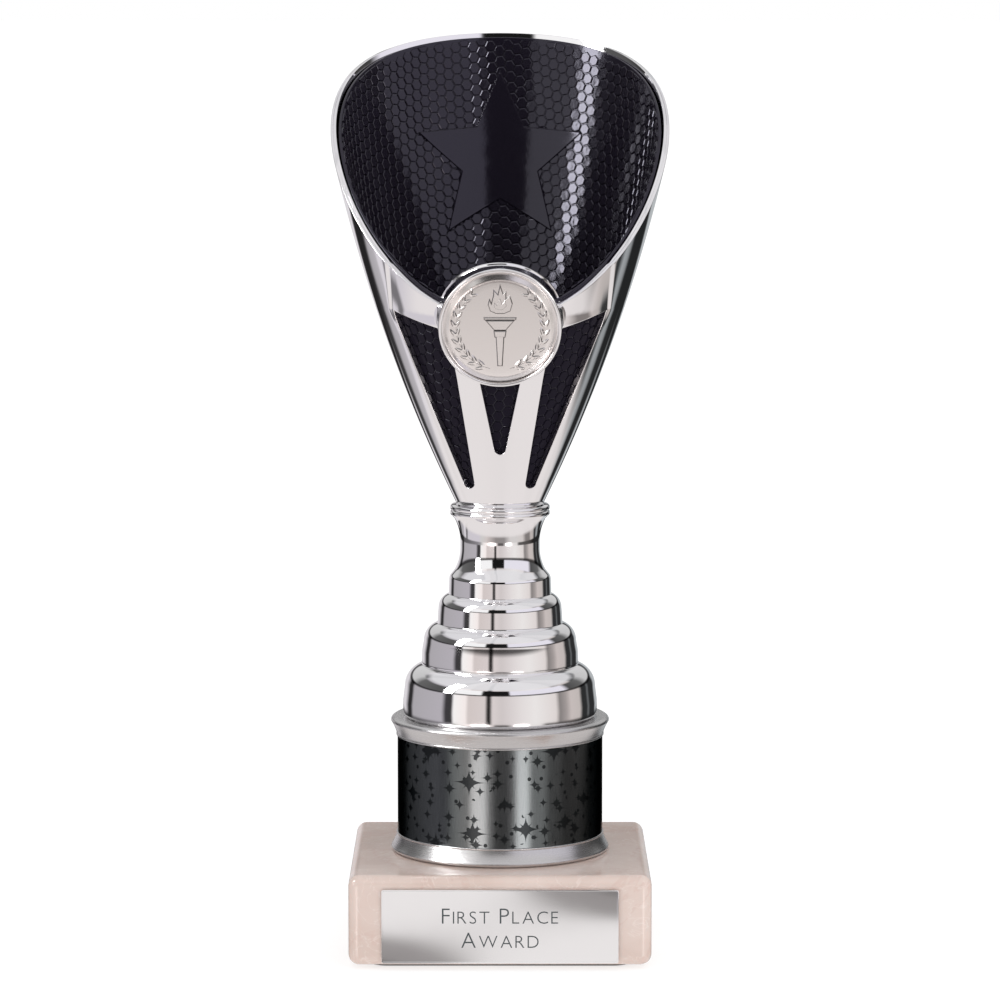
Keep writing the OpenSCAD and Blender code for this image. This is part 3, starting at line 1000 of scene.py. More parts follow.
class TROPHY_OT_liner(bpy.types.Operator):
    """Makes the gloss liner with its hexagonal pads and its star"""

    bl_idname = "trophy.liner"
    bl_label = "Liner"

    # How fast the pads grow up the wall, and how far their rows lean
    GROWTH = 0.27
    LEAN = math.radians(5)
    # Shares of the pitch: the gap between pads, and the rounding and slope of a pad's edge
    PAD_GAP = 0.06
    PAD_ROUND, PAD_EDGE = 0.015, 0.075
    # Levels of the wall's two sides, of the pads' feet and of the star above the wall
    WALL_IN, PAD_FOOT, STAR_UP = 0.25 * MM, 0.28 * MM, 0.32 * MM
    FLOOR = 1.2 * MM

    def execute(self, context):
        self.sizes = context.scene.trophy_cup
        self.bowl = Bowl(self.sizes)
        self.skin = self.sizes.liner_inset + self.sizes.liner_wall
        finish = gloss_liner()
        piece("liner_wall", self.wall(), finish, ["cup_liner"])
        self.level = self.integral_table()
        inside = self.pads(math.pi, 74.0, self.skin - self.PAD_FOOT, self.skin, 1.0,
                           self.seen_inside)
        piece("liner_pads", inside, finish, sharp=25, weighted=False)
        rim = self.sizes.liner_inset
        outside = self.pads(0.0, 26.0, rim + self.WALL_IN, rim, -1.0, self.seen_outside)
        # The pads seen through the windows get a copy of the gloss liner with its shine cut to
        # 0.06, as painted shade for the gap behind the shell
        piece("liner_window_pads", outside, gloss_liner("liner_outside_painted_shade", 0.06),
              sharp=25, weighted=False)
        piece("liner_star", self.star(), finish)
        return {"FINISHED"}

    def wall(self):
        """The smooth wall under the pads, open at the rim's sweep, with a floor."""
        outer = self.sizes.liner_inset + self.WALL_IN
        thick = self.sizes.liner_wall - 0.53 * MM
        across, up = 160, 60
        bm = bmesh.new()
        bmesh.ops.create_grid(bm, x_segments=across, y_segments=up, size=1)
        foot = LINER[0].z + 0.1 * MM
        for v in bm.verts:
            turn = (v.co.x + 1) / 2 * TAU
            top = self.bowl.rim(turn, outer, self.sizes.liner_drop)
            z = foot + (top - foot) * ((v.co.y + 1) / 2)
            v.co = self.bowl.point(turn, z, outer)
        face_out(bm)
        bmesh.ops.solidify(bm, geom=bm.faces[:], thickness=thick)
        rim = [e for e in bm.edges if e.is_manifold and e.calc_face_angle() > 1
               and e.verts[0].co.z > LINER[0].z + 5 * MM]
        bevel(bm, rim, 0.2 * MM, 3)
        floor = LINER[0].z
        reach = self.bowl.radius(floor + self.FLOOR, outer + 0.2 * MM)
        take_in(bm, lathe([(ROD_HOLE, floor), (reach - 0.6 * MM, floor),
                           (reach, floor + self.FLOOR), (ROD_HOLE, floor + self.FLOOR)], 96))
        return bm

    def integral_table(self):
        """Height against the sum of distance over radius, going up the side."""
        table, total, step = [], 0.0, 0.2 * MM
        z = COLLAR_Z + 1 * MM
        while z < COLLAR_Z + 0.107:
            table.append((total, z))
            up = self.bowl.radius(z + step) - self.bowl.radius(z)
            total += math.hypot(step, up) / self.bowl.radius(z)
            z += step
        return table

    def height_at(self, total):
        i = min(max(bisect.bisect(self.level, (total,)), 1), len(self.level) - 1)
        (t0, z0), (t1, z1) = self.level[i - 1 : i + 1]
        return z0 + (z1 - z0) * (total - t0) / (t1 - t0)

    def total_at(self, z):
        return min(self.level, key=lambda row: abs(row[1] - z))[0]

    def seen_inside(self, turn, z, inset):
        if abs(turn - math.pi) > math.pi or z < COLLAR_Z + 4 * MM:
            return False
        return z < self.bowl.rim(turn, inset, self.sizes.liner_drop) - 0.2 * MM

    def seen_outside(self, turn, z, inset):
        """Only the stretch behind the windows is kept."""
        h = (z - COLLAR_Z) / MM
        x = abs(self.bowl.radius(z) / MM * math.sin(turn))
        reach = between(TROPHY_OT_shell.OUTER, h) + 1.5
        return abs(turn) < math.pi / 2 and 1.5 < h < 46 and x < reach

    def pads(self, middle, up, low_inset, top_inset, way, kept):
        """Flat hexagonal pads in rows, laid on the wall by a map that keeps their shape."""
        pitch = self.sizes.pad_pitch
        z0 = COLLAR_Z + up * MM
        start = self.total_at(z0)
        r0 = self.bowl.radius(z0, top_inset) / self.GROWTH
        spacing = pitch * math.sqrt(3) / 2
        lean = Matrix.Rotation(self.LEAN * way, 4, "Z")
        one = self.pad(pitch, lean)
        bm = bmesh.new()
        reach = int(0.085 / spacing)
        at = Vector()
        for column in range(-reach, reach + 1):
            for row in range(-int(0.062 / pitch), int(0.056 / pitch)):
                flat = Vector((column * spacing, (row + 0.5 * (column % 2)) * pitch, 0))
                flat = lean @ flat
                turn, z = self.wrap(flat, r0, start, middle)
                if kept(turn, z, top_inset):
                    one.transform(Matrix.Translation(flat - at))
                    at = flat
                    bm.from_mesh(one)
        bpy.data.meshes.remove(one)
        drop = self.sizes.liner_drop + 0.15 * MM
        for v in bm.verts:
            turn, z = self.wrap(v.co, r0, start, middle)
            inset = low_inset + (top_inset - low_inset) * v.co.z
            v.co = self.bowl.point(turn, min(z, self.bowl.rim(turn, inset, drop)), inset)
        bmesh.ops.recalc_face_normals(bm, faces=bm.faces)
        return bm

    def pad(self, pitch, lean):
        """One pad as a flat hexagon with a bevelled edge, from 0 at its foot to 1 at its top."""
        bm = bmesh.new()
        radius = pitch / math.sqrt(3) * (1 - self.PAD_GAP)
        bmesh.ops.create_circle(bm, cap_ends=True, segments=6, radius=radius,
                                matrix=lean @ Matrix.Rotation(math.pi / 6, 4, "Z"))
        bm.faces.ensure_lookup_table()
        face = bm.faces[0]
        for part, level in ((self.PAD_ROUND, 0.6), (self.PAD_EDGE, 1.0)):
            bmesh.ops.inset_region(bm, faces=[face], thickness=part * pitch, depth=0,
                                   use_boundary=True)
            for v in face.verts:
                v.co.z = level
        mesh = bpy.data.meshes.new("pad")
        bm.to_mesh(mesh)
        bm.free()
        return mesh

    def wrap(self, flat, r0, start, middle):
        """Angle and height on the cup of a place in the flat pattern."""
        reach = math.hypot(flat.x, r0 + flat.y)
        total = start + math.log(reach / r0) / self.GROWTH
        total = min(max(total, self.level[0][0]), self.level[-1][0])
        turn = math.atan2(flat.x, r0 + flat.y) / self.GROWTH
        return (middle - turn if middle else turn), self.height_at(total)

    def star(self):
        """The raised star, shaped straight from the front and as round as the wall."""
        bm = bmesh.new()
        made = bmesh.ops.create_circle(bm, cap_ends=True, segments=10, radius=self.sizes.star)
        centre = Vector((0, COLLAR_Z + self.sizes.star_up, 0))
        for v in made["verts"]:
            step = round((math.atan2(v.co.y, v.co.x) - math.pi / 2) / (TAU / 10)) % 10
            turn = math.pi / 2 + step * TAU / 10
            size = self.sizes.star * (1 if step % 2 == 0 else 0.45)
            v.co = Vector((math.cos(turn), math.sin(turn), 0)) * size + centre
        bmesh.ops.poke(bm, faces=bm.faces[:])
        bmesh.ops.subdivide_edges(bm, edges=bm.edges[:], cuts=9, use_grid_fill=True)
        bmesh.ops.inset_region(bm, faces=bm.faces[:], thickness=0.55 * MM, depth=0,
                               use_boundary=True, use_even_offset=True)
        low = self.skin - 0.3 * MM
        raised = self.skin + self.STAR_UP
        centre_z = COLLAR_Z + self.sizes.star_up
        slope = self.bowl.normal(math.pi, centre_z)
        border = {v for e in bm.edges if e.is_boundary for v in e.verts}
        for v in bm.verts:
            inset = low if v in border else raised
            z = centre_z + (v.co.y - centre_z) * slope.y
            v.co = self.bowl.point(math.pi - v.co.x / self.bowl.radius(z, inset), z, inset)
        bm.normal_update()
        if sum(f.normal.y for f in bm.faces) > 0:
            bmesh.ops.reverse_faces(bm, faces=bm.faces)
        bmesh.ops.solidify(bm, geom=bm.faces[:], thickness=0.3 * MM)
        return bm


# ---------------------------------------------------------------- medal and its seat


class TROPHY_OT_medal(bpy.types.Operator):
    """Makes the round seat on the cup and the struck medal in it"""

    bl_idname = "trophy.medal"
    bl_label = "Medal"

    # Radii of the medal's struck face, of its flat middle and of the laurel, in millimetres
    FACE, FLAT, LAUREL = 12.35, 10.2, 9.5
    # Slopes of the rolled edge: near the flat, and added further out
    ROLL, STEEPER, STEEPER_FROM = 0.10, 0.40, 0.7

    def execute(self, context):
        self.sizes = context.scene.trophy_medal
        self.bowl = Bowl(context.scene.trophy_cup)
        self.seat_place = (
            Matrix.Translation((0, -self.sizes.out, COLLAR_Z + self.sizes.up))
            @ Matrix.Rotation(math.pi / 2 + self.sizes.tilt, 4, "X"))
        piece("medal_seat", self.seat(context.scene.trophy_cup), chrome("seat_plate", 0.15))
        metal = medal_metal()
        self.disc(metal)
        self.torch(metal)
        self.laurel(metal)
        keep_node("medal_tape", paper("medal_foam_tape", (0.80, 0.80, 0.78), (0.7, 0.7, 0.68)))
        return {"FINISHED"}

    def seat(self, cup):
        """A ring with a recess, reaching back to the bowl with a small fillet on the shell."""
        r = self.sizes.seat / MM
        inner = self.sizes.medal / MM + 0.13
        depth = self.sizes.recess / MM
        outline = [(0, -depth), (inner, -depth), (inner, -0.32), (inner + 0.10, -0.10),
                   (inner + 0.28, 0), (r - 0.34, 0), (r - 0.13, -0.08), (r - 0.03, -0.25),
                   (r, -0.5), (r, -1.0), (r, -1.6), (r, -2.2), (r, -3.0), (r, -3.2), (r, -3.4),
                   (r, -3.6), (r, -3.8), (r, -9), (r * 0.8, -9), (r * 0.6, -9), (r * 0.4, -9),
                   (r * 0.2, -9), (0, -9)]
        bm = bmesh.new()
        rows = bm.verts.layers.int.new("row")
        verts = [bm.verts.new((x * MM, 0, z * MM)) for x, z in outline]
        for i, v in enumerate(verts):
            v[rows] = i
        edges = [bm.edges.new(pair) for pair in zip(verts, verts[1:])]
        bmesh.ops.spin(bm, geom=verts + edges, cent=(0, 0, 0), axis=(0, 0, 1), angle=TAU,
                       steps=160, use_merge=True)
        bmesh.ops.remove_doubles(bm, verts=bm.verts, dist=2e-6)
        bmesh.ops.recalc_face_normals(bm, faces=bm.faces)
        first_wall = 9
        # Rows of the fillet on the shell and of the bead over the bowl's opening: how far out,
        # and how far above the shell or the seat's back, in millimetres
        fillet = {12: (0.0, 1.0), 13: (0.06, 0.62), 14: (0.22, 0.30), 15: (0.50, 0.09),
                  16: (0.95, -0.03)}
        bead = {12: (0.0, 0.86), 13: (0.22, 0.74), 14: (0.34, 0.45), 15: (0.26, 0.14),
                16: (0.0, 0.0)}
        for v in bm.verts:
            row = v[rows]
            if row < first_wall:
                continue
            out = Vector((v.co.x, v.co.y, 0))
            way = out.normalized() if out.length > 1e-6 else Vector()
            low = self.under_rim(out)
            back = self.reach_back(out, (0.78 * low + 2.7 * (1 - low)) * MM)
            if row in fillet:
                extra, above = fillet[row]
                bulge, ahead = bead[row]
                out += way * (extra * self.grip(out, way) + bulge * (1 - low)) * MM
                on_shell = self.reach_back(out, 0.0) + above * MM
                z = on_shell * low + (back + ahead * MM) * (1 - low)
            elif row < 12:
                z = (self.reach_back(out, 0.0) + 1.0 * MM) * low + (back + 1.0 * MM) * (1 - low)
                z = z * (row - 8) / 4 - 0.5 * MM * (12 - row) / 4
            else:
                z = back
            v.co = Vector((out.x, out.y, min(z, -0.5 * MM)))
        bm.transform(self.seat_place)
        return bm

    def reach_back(self, out, inset):
        """How far back along the seat's axis the bowl's surface lies, as a local height."""
        low, high = -0.03, 0.0
        for _ in range(26):
            z = (low + high) / 2
            here = self.bowl.inset(self.seat_place @ Vector((out.x, out.y, z)))
            low, high = (z, high) if here > inset else (low, z)
        return low

    def under_rim(self, out):
        """1 where the bowl behind this place is below the rim, 0 where it is open."""
        at = self.seat_place @ Vector((out.x, out.y, self.reach_back(out, 0.0)))
        below = self.bowl.rim(sweep_angle(at), 0.0, 0.4 * MM) - at.z
        return smooth_step(below / (0.8 * MM) + 0.5)

    def grip(self, out, way):
        """How much shell there is round this place for a fillet to run onto."""
        found = 0.0
        for side in (-0.12, -0.06, 0.0, 0.06, 0.12):
            near = Matrix.Rotation(side, 3, "Z") @ way * (self.sizes.seat + 0.9 * MM)
            at = self.seat_place @ Vector((near.x, near.y, self.reach_back(near, 0.0)))
            h, x = (at.z - COLLAR_Z) / MM, abs(at.x) / MM
            slope = TROPHY_OT_shell.INNER_TOP + TROPHY_OT_shell.TOP_CLIMB * (x - 11.5) / 12.2
            wide = between(TROPHY_OT_shell.INNER, h) - 0.3 < x and h < slope + 0.3
            small = h < TROPHY_OT_shell.SMALL_TOP and x < between(TROPHY_OT_shell.SMALL, h) + 0.3
            found += 0.0 if wide or small else self.under_rim(near)
        return smooth_step(found / 5)

    def dome(self, x, y):
        """Height of the medal's face in the seat's own frame: flat, with a rolled edge."""
        r = math.hypot(x, y) / MM
        past = r - self.FLAT
        rolled = self.ROLL * max(0.0, past) + self.STEEPER * max(0.0, past - self.STEEPER_FROM)
        return (-0.22 - 0.0008 * r * r - rolled) * MM

    def disc(self, metal):
        """The medal: a flat struck face with a rolled edge."""
        r = self.sizes.medal / MM
        face = [(x, self.dome(x * MM, 0) / MM) for x in (
            self.FACE, 12.1, 11.8, 11.5, 11.2, 10.9, 10.6, 10.3, 9, 7, 5, 3, 1)]
        outline = [(0, -1.2), (r - 0.1, -1.2), (r, -1.18), (r, -1.14), *face,
                   (0, self.dome(0, 0) / MM)]
        bm = lathe([(x * MM, z * MM) for x, z in outline], 160)
        bm.transform(self.seat_place)
        piece("struck_medal", bm, metal, ["centre_medal"])

    def settle(self, bm, height):
        """Lays flat relief on the domed face; its own height is kept above the face."""
        for v in bm.verts:
            v.co.z += self.dome(v.co.x, v.co.y) - 0.05 * MM + height
        bm.transform(self.seat_place)

    def relief(self, bm, outline, height, edge):
        """A raised shape with a sloping edge."""
        points = [Vector((x * MM, y * MM, 0)) for x, y in outline]
        face = bm.faces.new([bm.verts.new(p) for p in points])
        face.normal_update()
        if face.normal.z < 0:
            face.normal_flip()
        side = bmesh.ops.extrude_face_region(bm, geom=[face])["geom"]
        top = select(side, bmesh.types.BMFace)
        bmesh.ops.translate(bm, verts=select(side, bmesh.types.BMVert), vec=(0, 0, height * MM))
        bmesh.ops.inset_region(bm, faces=top, thickness=edge * MM, depth=0.9 * edge * MM,
                               use_even_offset=True)

    def torch(self, metal):
        """Shaft, neck, bowl, lip and two-part flame."""
        bm = bmesh.new()
        self.relief(bm, [(-0.62, -8.7), (0.62, -8.7), (1.0, -1.5), (-1.0, -1.5)], 0.03, 0.26)
        self.relief(bm, [(-1.2, -2.1), (1.2, -2.1), (1.45, -0.5), (-1.45, -0.5)], 0.08, 0.26)
        self.relief(bm, [(-1.3, -0.5), (1.3, -0.5), (3.3, 1.9), (-3.3, 1.9)], 0.05, 0.28)
        self.relief(bm, [(-3.5, 1.9), (3.5, 1.9), (3.6, 2.55), (-3.6, 2.55)], 0.12, 0.22)
        flame = [(-0.9, 3.3), (-2.2, 3.9), (-2.7, 5.4), (-2.3, 7.0), (-1.9, 6.0), (-1.5, 7.6),
                 (-1.5, 9.0), (-0.5, 7.9), (0.0, 10.2), (0.7, 8.1), (1.4, 8.6), (1.4, 7.0),
                 (2.2, 7.6), (2.8, 5.6), (2.3, 3.9), (0.9, 3.3)]
        self.relief(bm, flame, 0.03, 0.24)
        inner = [(-0.5, 4.2), (-1.4, 4.8), (-1.3, 6.2), (-0.7, 5.5), (0.0, 7.2), (0.5, 5.7),
                 (1.2, 6.8), (1.5, 5.1), (0.6, 4.2)]
        self.relief(bm, inner, 0.16, 0.16)
        self.settle(bm, 0)
        piece("medal_torch", bm, metal, sharp=20)

    def laurel(self, metal):
        """Two branches of paired leaves that rise from the foot on either side."""
        bm = bmesh.new()
        for side in (-1, 1):
            for i in range(self.sizes.leaves):
                along = i / (self.sizes.leaves - 1)
                turn = math.radians(-70 + 118 * along)
                reach = (self.LAUREL + 0.35 * along) * MM
                centre = Vector((math.cos(turn), math.sin(turn), 0)) * reach
                ahead = turn + math.pi / 2
                long = (1.45 - 0.25 * along) * MM
                for lean in (0.52, -0.52):
                    self.leaf(bm, centre, ahead + lean, lean, long, side)
            self.stem(bm, side)
        bmesh.ops.recalc_face_normals(bm, faces=bm.faces)
        self.settle(bm, 0)
        piece("medal_laurel", bm, metal, sharp=20, weighted=False)

    def leaf(self, bm, centre, ahead, lean, long, side):
        """A pointed leaf with a ridge along it."""
        shift = Vector((math.cos(ahead), math.sin(ahead), 0)) * long * 0.85
        made = bmesh.ops.create_cone(bm, cap_ends=True, segments=8, radius1=1, radius2=0.35,
                                     depth=1)["verts"]
        bmesh.ops.scale(bm, verts=made, vec=(long, long * 0.36, 0.30 * MM))
        for v in made:
            v.co.y *= 1 - 0.25 * v.co.x / long
        turn = Matrix.Rotation(ahead, 4, "Z")
        place = Matrix.Translation(centre + shift + Vector((0, 0, 0.13 * MM))) @ turn
        bmesh.ops.transform(bm, verts=made, matrix=place)
        if side < 0:
            bmesh.ops.scale(bm, verts=made, vec=(-1, 1, 1))

    def stem(self, bm, side):
        """A branch's stem, in short overlapping lengths."""
        for i in range(24):
            turn = math.radians(-74 + 120 * i / 24)
            centre = Vector((math.cos(turn) * side, math.sin(turn), 0)) * self.LAUREL * MM
            made = bmesh.ops.create_cone(bm, cap_ends=True, segments=6, radius1=1, radius2=0.5,
                                         depth=1)["verts"]
            bmesh.ops.scale(bm, verts=made, vec=(0.62 * MM, 0.13 * MM, 0.2 * MM))
            ahead = turn + math.pi / 2 if side > 0 else math.pi / 2 - turn
            place = Matrix.Translation(centre + Vector((0, 0, 0.08 * MM)))
            bmesh.ops.transform(bm, verts=made, matrix=place @ Matrix.Rotation(ahead, 4, "Z"))


# ---------------------------------------------------------------- fixings


class TROPHY_OT_fixings(bpy.types.Operator):
    """Makes the threaded rod with its nuts and washers"""

    bl_idname = "trophy.fixings"
    bl_label = "Fixings"

    # The thread's pitch, and the radius of a nut's bore
    PITCH = 1.0 * MM
    BORE = 3.05 * MM

    def execute(self, context):
        finish = zinc()
        self.rod(finish)
        for name in ("cup_nut", "lower_nut"):
            self.nut(name, finish)
        for name in ("cup_washer", "lower_washer"):
            self.washer(name, finish)
        keep_node("lower_lock_washer", finish)
        return {"FINISHED"}

    def rod(self, finish):
        """One turn of thread is stacked up and cut square at its ends."""
        low, high = ROD[0].z, ROD[1].z
        outer, root = ROD[1].x, ROD[1].x - 0.55 * self.PITCH
        thread = bmesh.new()
        profile = [(outer, 0), (outer, 0.08), (root, 0.42), (root, 0.5), (outer, 0.92), (outer, 1)]
        verts = [thread.verts.new((r, 0, h * self.PITCH)) for r, h in profile]
        edges = [thread.edges.new(pair) for pair in zip(verts, verts[1:])]
        bmesh.ops.spin(thread, geom=verts + edges, cent=(0, 0, 0), axis=(0, 0, 1),
                       dvec=(0, 0, self.PITCH / 32), angle=TAU, steps=32, use_merge=False)
        turn = bpy.data.meshes.new("turn")
        thread.to_mesh(turn)
        thread.free()
        turn.transform(Matrix.Translation((0, 0, low - 2 * self.PITCH)))
        bm = bmesh.new()
        for _ in range(int((high - low) / self.PITCH) + 4):
            bm.from_mesh(turn)
            turn.transform(Matrix.Translation((0, 0, self.PITCH)))
        bpy.data.meshes.remove(turn)
        bmesh.ops.remove_doubles(bm, verts=bm.verts, dist=SAME)
        for z, way in ((low, -1), (high, 1)):
            bmesh.ops.bisect_plane(bm, geom=bm.verts[:] + bm.edges[:] + bm.faces[:],
                                   plane_co=(0, 0, z), plane_no=(0, 0, way), clear_outer=True)
        bmesh.ops.holes_fill(bm, edges=[e for e in bm.edges if e.is_boundary], sides=0)
        bmesh.ops.recalc_face_normals(bm, faces=bm.faces)
        piece("thread_rod", bm, finish, ["threaded_rod"], sharp=30, weighted=False)

    def nut(self, node, finish):
        """A six-sided nut with a plain bore."""
        low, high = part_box(node)
        bm = bmesh.new()
        middle = (low.z + high.z) / 2
        flats = min(high.x - low.x, high.y - low.y) / 2
        made = bmesh.ops.create_cone(bm, cap_ends=True, segments=6, depth=high.z - low.z,
                                     radius1=flats / math.cos(math.pi / 6),
                                     radius2=flats / math.cos(math.pi / 6))
        bmesh.ops.rotate(bm, verts=made["verts"], cent=(0, 0, 0),
                         matrix=Matrix.Rotation(math.pi / 6, 3, "Z"))
        bmesh.ops.translate(bm, verts=bm.verts, vec=(0, 0, middle))
        ends = [f for f in bm.faces if abs(f.normal.z) > 0.9]
        for face in ends:
            z = face.calc_center_median().z
            border = list(face.edges)
            bm.faces.remove(face)
            bmesh.ops.bridge_loops(bm, edges=border + ring(bm, self.BORE, z, 36))
        inner = [e for e in bm.edges if e.is_boundary]
        bmesh.ops.bridge_loops(bm, edges=inner)
        bmesh.ops.recalc_face_normals(bm, faces=bm.faces)
        outer = [e for e in bm.edges if e.is_manifold and e.calc_face_angle() > 0.8
                 and all(v.co.xy.length > 4 * MM for v in e.verts)]
        bevel(bm, outer, 0.4 * MM, 3)
        piece(node + "_hex", bm, finish, [node])

    def washer(self, node, finish):
        low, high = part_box(node)
        outline = [(ROD_HOLE, low.z), (high.x, low.z), (high.x, high.z), (ROD_HOLE, high.z)]
        piece(node + "_ring", lathe(eased(outline, 0.2 * MM, 3), 72), finish, [node])


# ---------------------------------------------------------------- stage


class TROPHY_OT_stage(bpy.types.Operator):
    """Makes the pale floor, the studio light and the camera"""

    bl_idname = "trophy.stage"
    bl_label = "Stage"

    # Where the camera stands, in metres, how far it looks down, and its lens
    CAMERA_BACK = 1.006
    CAMERA_UP = 0.2171
    LOOK_DOWN = math.radians(6.64)
    LENS = 162.56

    # The room that the metal mirrors: degrees from the front, and brightness
    BANDS = [(-180, 0.7), (-154, 0.75), (-146, 0.4), (-140, 0.03), (-132, 0.03), (-126, 0.44),
             (-74, 0.49), (-68, 0.05), (-60, 0.05), (-57, 1.0), (-42, 1.0), (-38, 0.70),
             (-18, 0.74), (-15, 0.02), (-12, 0.02), (-9, 0.76), (2, 0.68), (26, 0.84),
             (42, 0.90), (70, 0.80), (76, 0.26), (86, 0.40), (94, 0.62), (110, 0.58),
             (116, 0.03), (126, 0.03), (130, 0.15), (135, 0.03), (150, 0.03), (157, 0.5)]
    # A low strip of it, which the upright foil mirrors
    LOWER = [(-180, 0.02), (-134, 0.02), (-126, 0.12), (-108, 0.14), (-70, 0.26),
             (-60, 0.36), (-50, 0.85), (-36, 1.2), (-30, 4.8), (-18, 4.8), (-12, 1.2),
             (-5, 0.12), (8, 0.12), (15, 0.7), (21, 4.6), (30, 4.6), (36, 0.9), (50, 0.8),
             (57, 0.12), (92, 0.08), (110, 0.02), (180, 0.02)]
    # What the leaning sides of the cup mirror, lower still
    SIDES = [(-180, 0.8), (-156, 0.8), (-151, 0.04), (-143, 0.04), (-138, 0.42), (-128, 0.5),
             (-125, 0.75), (-119, 0.75), (-116, 0.2), (-111, 0.2), (-107, 0.66), (-40, 0.68),
             (-12, 0.30), (12, 0.30), (30, 0.7), (70, 0.7), (82, 0.24), (96, 0.24),
             (102, 0.58), (112, 0.5), (117, 0.04), (122, 0.04), (128, 0.38), (133, 0.3),
             (137, 0.02), (149, 0.02), (156, 0.6), (180, 0.7)]
    # A high strip, which the bowl's inside mirrors
    UPPER = [(-180, 0.7), (-138, 0.6), (-122, 0.14), (-62, 0.07), (-56, 1.0), (-24, 1.0),
             (-21, 0.01), (11, 0.01), (13, (0.85, 0.83, 0.91)), (86, (0.85, 0.83, 0.91)),
             (95, 0.08), (122, 0.14), (138, 0.6), (180, 0.7)]
    # Tints of the room from left to right
    TINTS = [(-180, (1.0, 0.97, 1.0)), (-66, (1.0, 0.95, 1.03)), (-56, (1.0, 0.98, 0.96)),
             (-36, (1.0, 0.90, 0.87)), (10, (1.0, 0.93, 0.92)), (44, (1.0, 0.97, 0.95)),
             (90, (1.0, 0.90, 0.87)), (112, (1.0, 0.92, 0.88)), (120, (0.95, 1.0, 1.03))]
    # By height, how much of the low strip, the sides' part, the high strip, a dark line, the
    # pale ceiling and the pale table shows
    LOW_PART = [(-90, 1.0), (-9.2, 1.0), (-8.7, 0.0)]
    SIDE_PART = [(-90, 1.0), (-15.0, 1.0), (-13.5, 0.0)]
    HIGH_PART = [(9, 0.0), (12, 1.0), (31, 1.0), (35, 0.0)]
    LINE = [(5, 1.0), (8, 0.12), (11, 0.12), (13, 1.0)]
    CEILING = [(33, 0.0), (40, 0.85)]
    TABLE = [(-90, 0.97), (-36, 0.95), (-30, 0.88), (-25, 0.0)]
    CEILING_COLOUR, TABLE_COLOUR = (0.82, 0.82, 0.84), (0.86, 0.82, 0.81)

    def execute(self, context):
        self.camera(context)
        self.floor(context)
        self.room(context)
        self.lamps(context)
        context.scene.view_settings.view_transform = "Standard"
        return {"FINISHED"}

    def camera(self, context):
        data = bpy.data.cameras.new("camera")
        data.lens = self.LENS
        data.sensor_width = 36
        data.clip_start, data.clip_end = 0.05, 100
        made = bpy.data.objects.new("camera", data)
        made.location = (0, -self.CAMERA_BACK, self.CAMERA_UP)
        made.rotation_euler = (math.pi / 2 - self.LOOK_DOWN, 0, 0)
        context.collection.objects.link(made)
        context.scene.camera = made

    def floor(self, context):
        bm = bmesh.new()
        bmesh.ops.create_circle(bm, cap_ends=True, segments=96, radius=20)
        mesh = bpy.data.meshes.new("floor")
        bm.to_mesh(mesh)
        bm.free()
        f = surface("pale_floor", {"Roughness": 0.9, "Specular IOR Level": 0.1,
                                   "Emission Color": (1, 1, 1), "Emission Strength": 0.66})
        grain = f.noise(f.place(), 40, 3)
        f.set("Base Color", f.mix(grain, (0.40, 0.40, 0.40), (0.42, 0.42, 0.42)))
        mesh.materials.append(f.holder)
        made = bpy.data.objects.new("floor", mesh)
        made.visible_glossy = False
        context.collection.objects.link(made)

    def room(self, context):
        """World light in upright bands that change with height; the background is white."""
        world = context.scene.world or bpy.data.worlds.new("room")
        context.scene.world = world
        f = Finish(world)
        f.tree.nodes.clear()
        x, y, z = f.split(f.add("TexCoord", output="Generated"))
        turn = f.math("ARCTAN2", x, y * -1) * (1 / TAU) + 0.5
        rise = f.math("ARCSINE", z) * (1 / math.pi) + 0.5
        around = [f.ramp(turn, [((a + 180) / 360, v) for a, v in stops])
                  for stops in (self.BANDS, self.LOWER, self.SIDES, self.UPPER, self.TINTS)]
        bands, lower, sides, upper, tints = around
        by_height = [f.ramp(rise, [((a + 90) / 180, v) for a, v in stops])
                     for stops in (self.LOW_PART, self.SIDE_PART, self.HIGH_PART, self.LINE,
                                   self.CEILING, self.TABLE)]
        low, side, high, line, ceiling, table = by_height
        glow = f.mix(side, f.mix(low, bands, lower), sides)
        glow = f.mix(1.0, glow, tints, "MULTIPLY")
        glow = f.mix(1.0, f.mix(high, glow, upper), line, "MULTIPLY")
        glow = f.mix(ceiling, glow, self.CEILING_COLOUR)
        glow = f.mix(table, glow, self.TABLE_COLOUR)
        seen = f.add("LightPath", output="Is Camera Ray")
        soft = f.add("LightPath", output="Is Diffuse Ray")
        lit = f.add("Background", None, {"Color": glow, "Strength": 1.0})
        pale = f.add("Background", None, {"Color": (1, 1, 1), "Strength": 1.0})
        shader = f.add("MixShader", None, {0: f.math("MAXIMUM", seen, soft), 1: lit, 2: pale})
        out = f.tree.nodes.new("ShaderNodeOutputWorld")
        f.tree.links.new(shader.socket, out.inputs["Surface"])

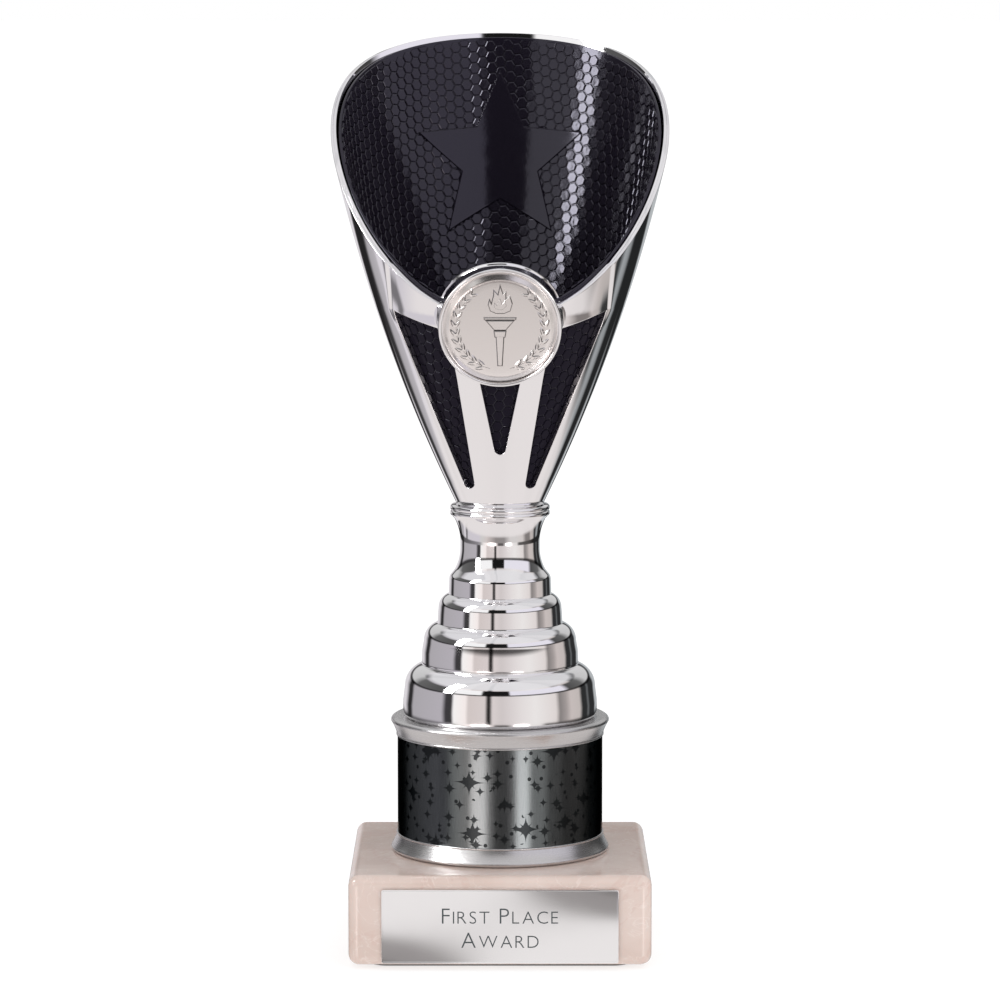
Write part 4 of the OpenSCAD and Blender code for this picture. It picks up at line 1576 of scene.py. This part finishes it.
    def lamps(self, context):
        """Soft panels round the object: degrees from the front, up, distance, size and watts."""
        for name, turn, rise, away, wide, tall, watts in (
                ("strip_left", -66, 28, 0.9, 0.20, 0.75, 6.5),
                ("soft_right", 36, 30, 1.2, 0.50, 0.60, 1.2)):
            data = bpy.data.lights.new(name, "AREA")
            data.shape = "RECTANGLE"
            data.size, data.size_y = wide, tall
            data.energy = watts
            made = bpy.data.objects.new(name, data)
            a, e = math.radians(turn), math.radians(rise)
            way = Vector((math.sin(a) * math.cos(e), -math.cos(a) * math.cos(e), math.sin(e)))
            made.location = Vector((0, 0, 0.11)) + way * away
            made.rotation_euler = way.to_track_quat("Z", "Y").to_euler()
            made.visible_camera = False
            made.visible_diffuse = name == "soft_right"
            made.visible_glossy = name == "strip_left"
            context.collection.objects.link(made)


# ---------------------------------------------------------------- panel and run

PIECES = (TROPHY_OT_stage, TROPHY_OT_base, TROPHY_OT_plate, TROPHY_OT_column, TROPHY_OT_riser,
          TROPHY_OT_shell, TROPHY_OT_liner, TROPHY_OT_medal, TROPHY_OT_fixings)


class TROPHY_PT_sidebar(bpy.types.Panel):
    """Lists the trophy's pieces and sizes"""

    bl_idname = "TROPHY_PT_sidebar"
    bl_label = "Column trophy"
    bl_space_type = "VIEW_3D"
    bl_region_type = "UI"
    bl_category = "Trophy"

    def draw(self, context):
        for operator in PIECES:
            self.layout.operator(operator.bl_idname)
        for group in ("trophy_base", "trophy_cup", "trophy_medal", "trophy_colours"):
            sizes = getattr(context.scene, group)
            box = self.layout.box()
            for key in sizes.bl_rna.properties.keys():
                if key not in ("rna_type", "name"):
                    box.prop(sizes, key)


GROUPS = {"trophy_base": TrophyBaseSizes, "trophy_cup": TrophyCupSizes,
          "trophy_medal": TrophyMedalSizes, "trophy_colours": TrophyColours}
CLASSES = (*GROUPS.values(), *PIECES, TROPHY_PT_sidebar)


def register():
    for made in CLASSES:
        bpy.utils.register_class(made)
    for key, group in GROUPS.items():
        setattr(bpy.types.Scene, key, PointerProperty(type=group))


def unregister():
    for key in GROUPS:
        delattr(bpy.types.Scene, key)
    for made in reversed(CLASSES):
        bpy.utils.unregister_class(made)


def main():
    register()
    bpy.ops.trophy.stage()
    bpy.ops.trophy.base()
    bpy.ops.trophy.plate()
    bpy.ops.trophy.column()
    bpy.ops.trophy.riser()
    bpy.ops.trophy.shell()
    bpy.ops.trophy.liner()
    bpy.ops.trophy.medal()
    bpy.ops.trophy.fixings()


if __name__ == "__main__":
    main()
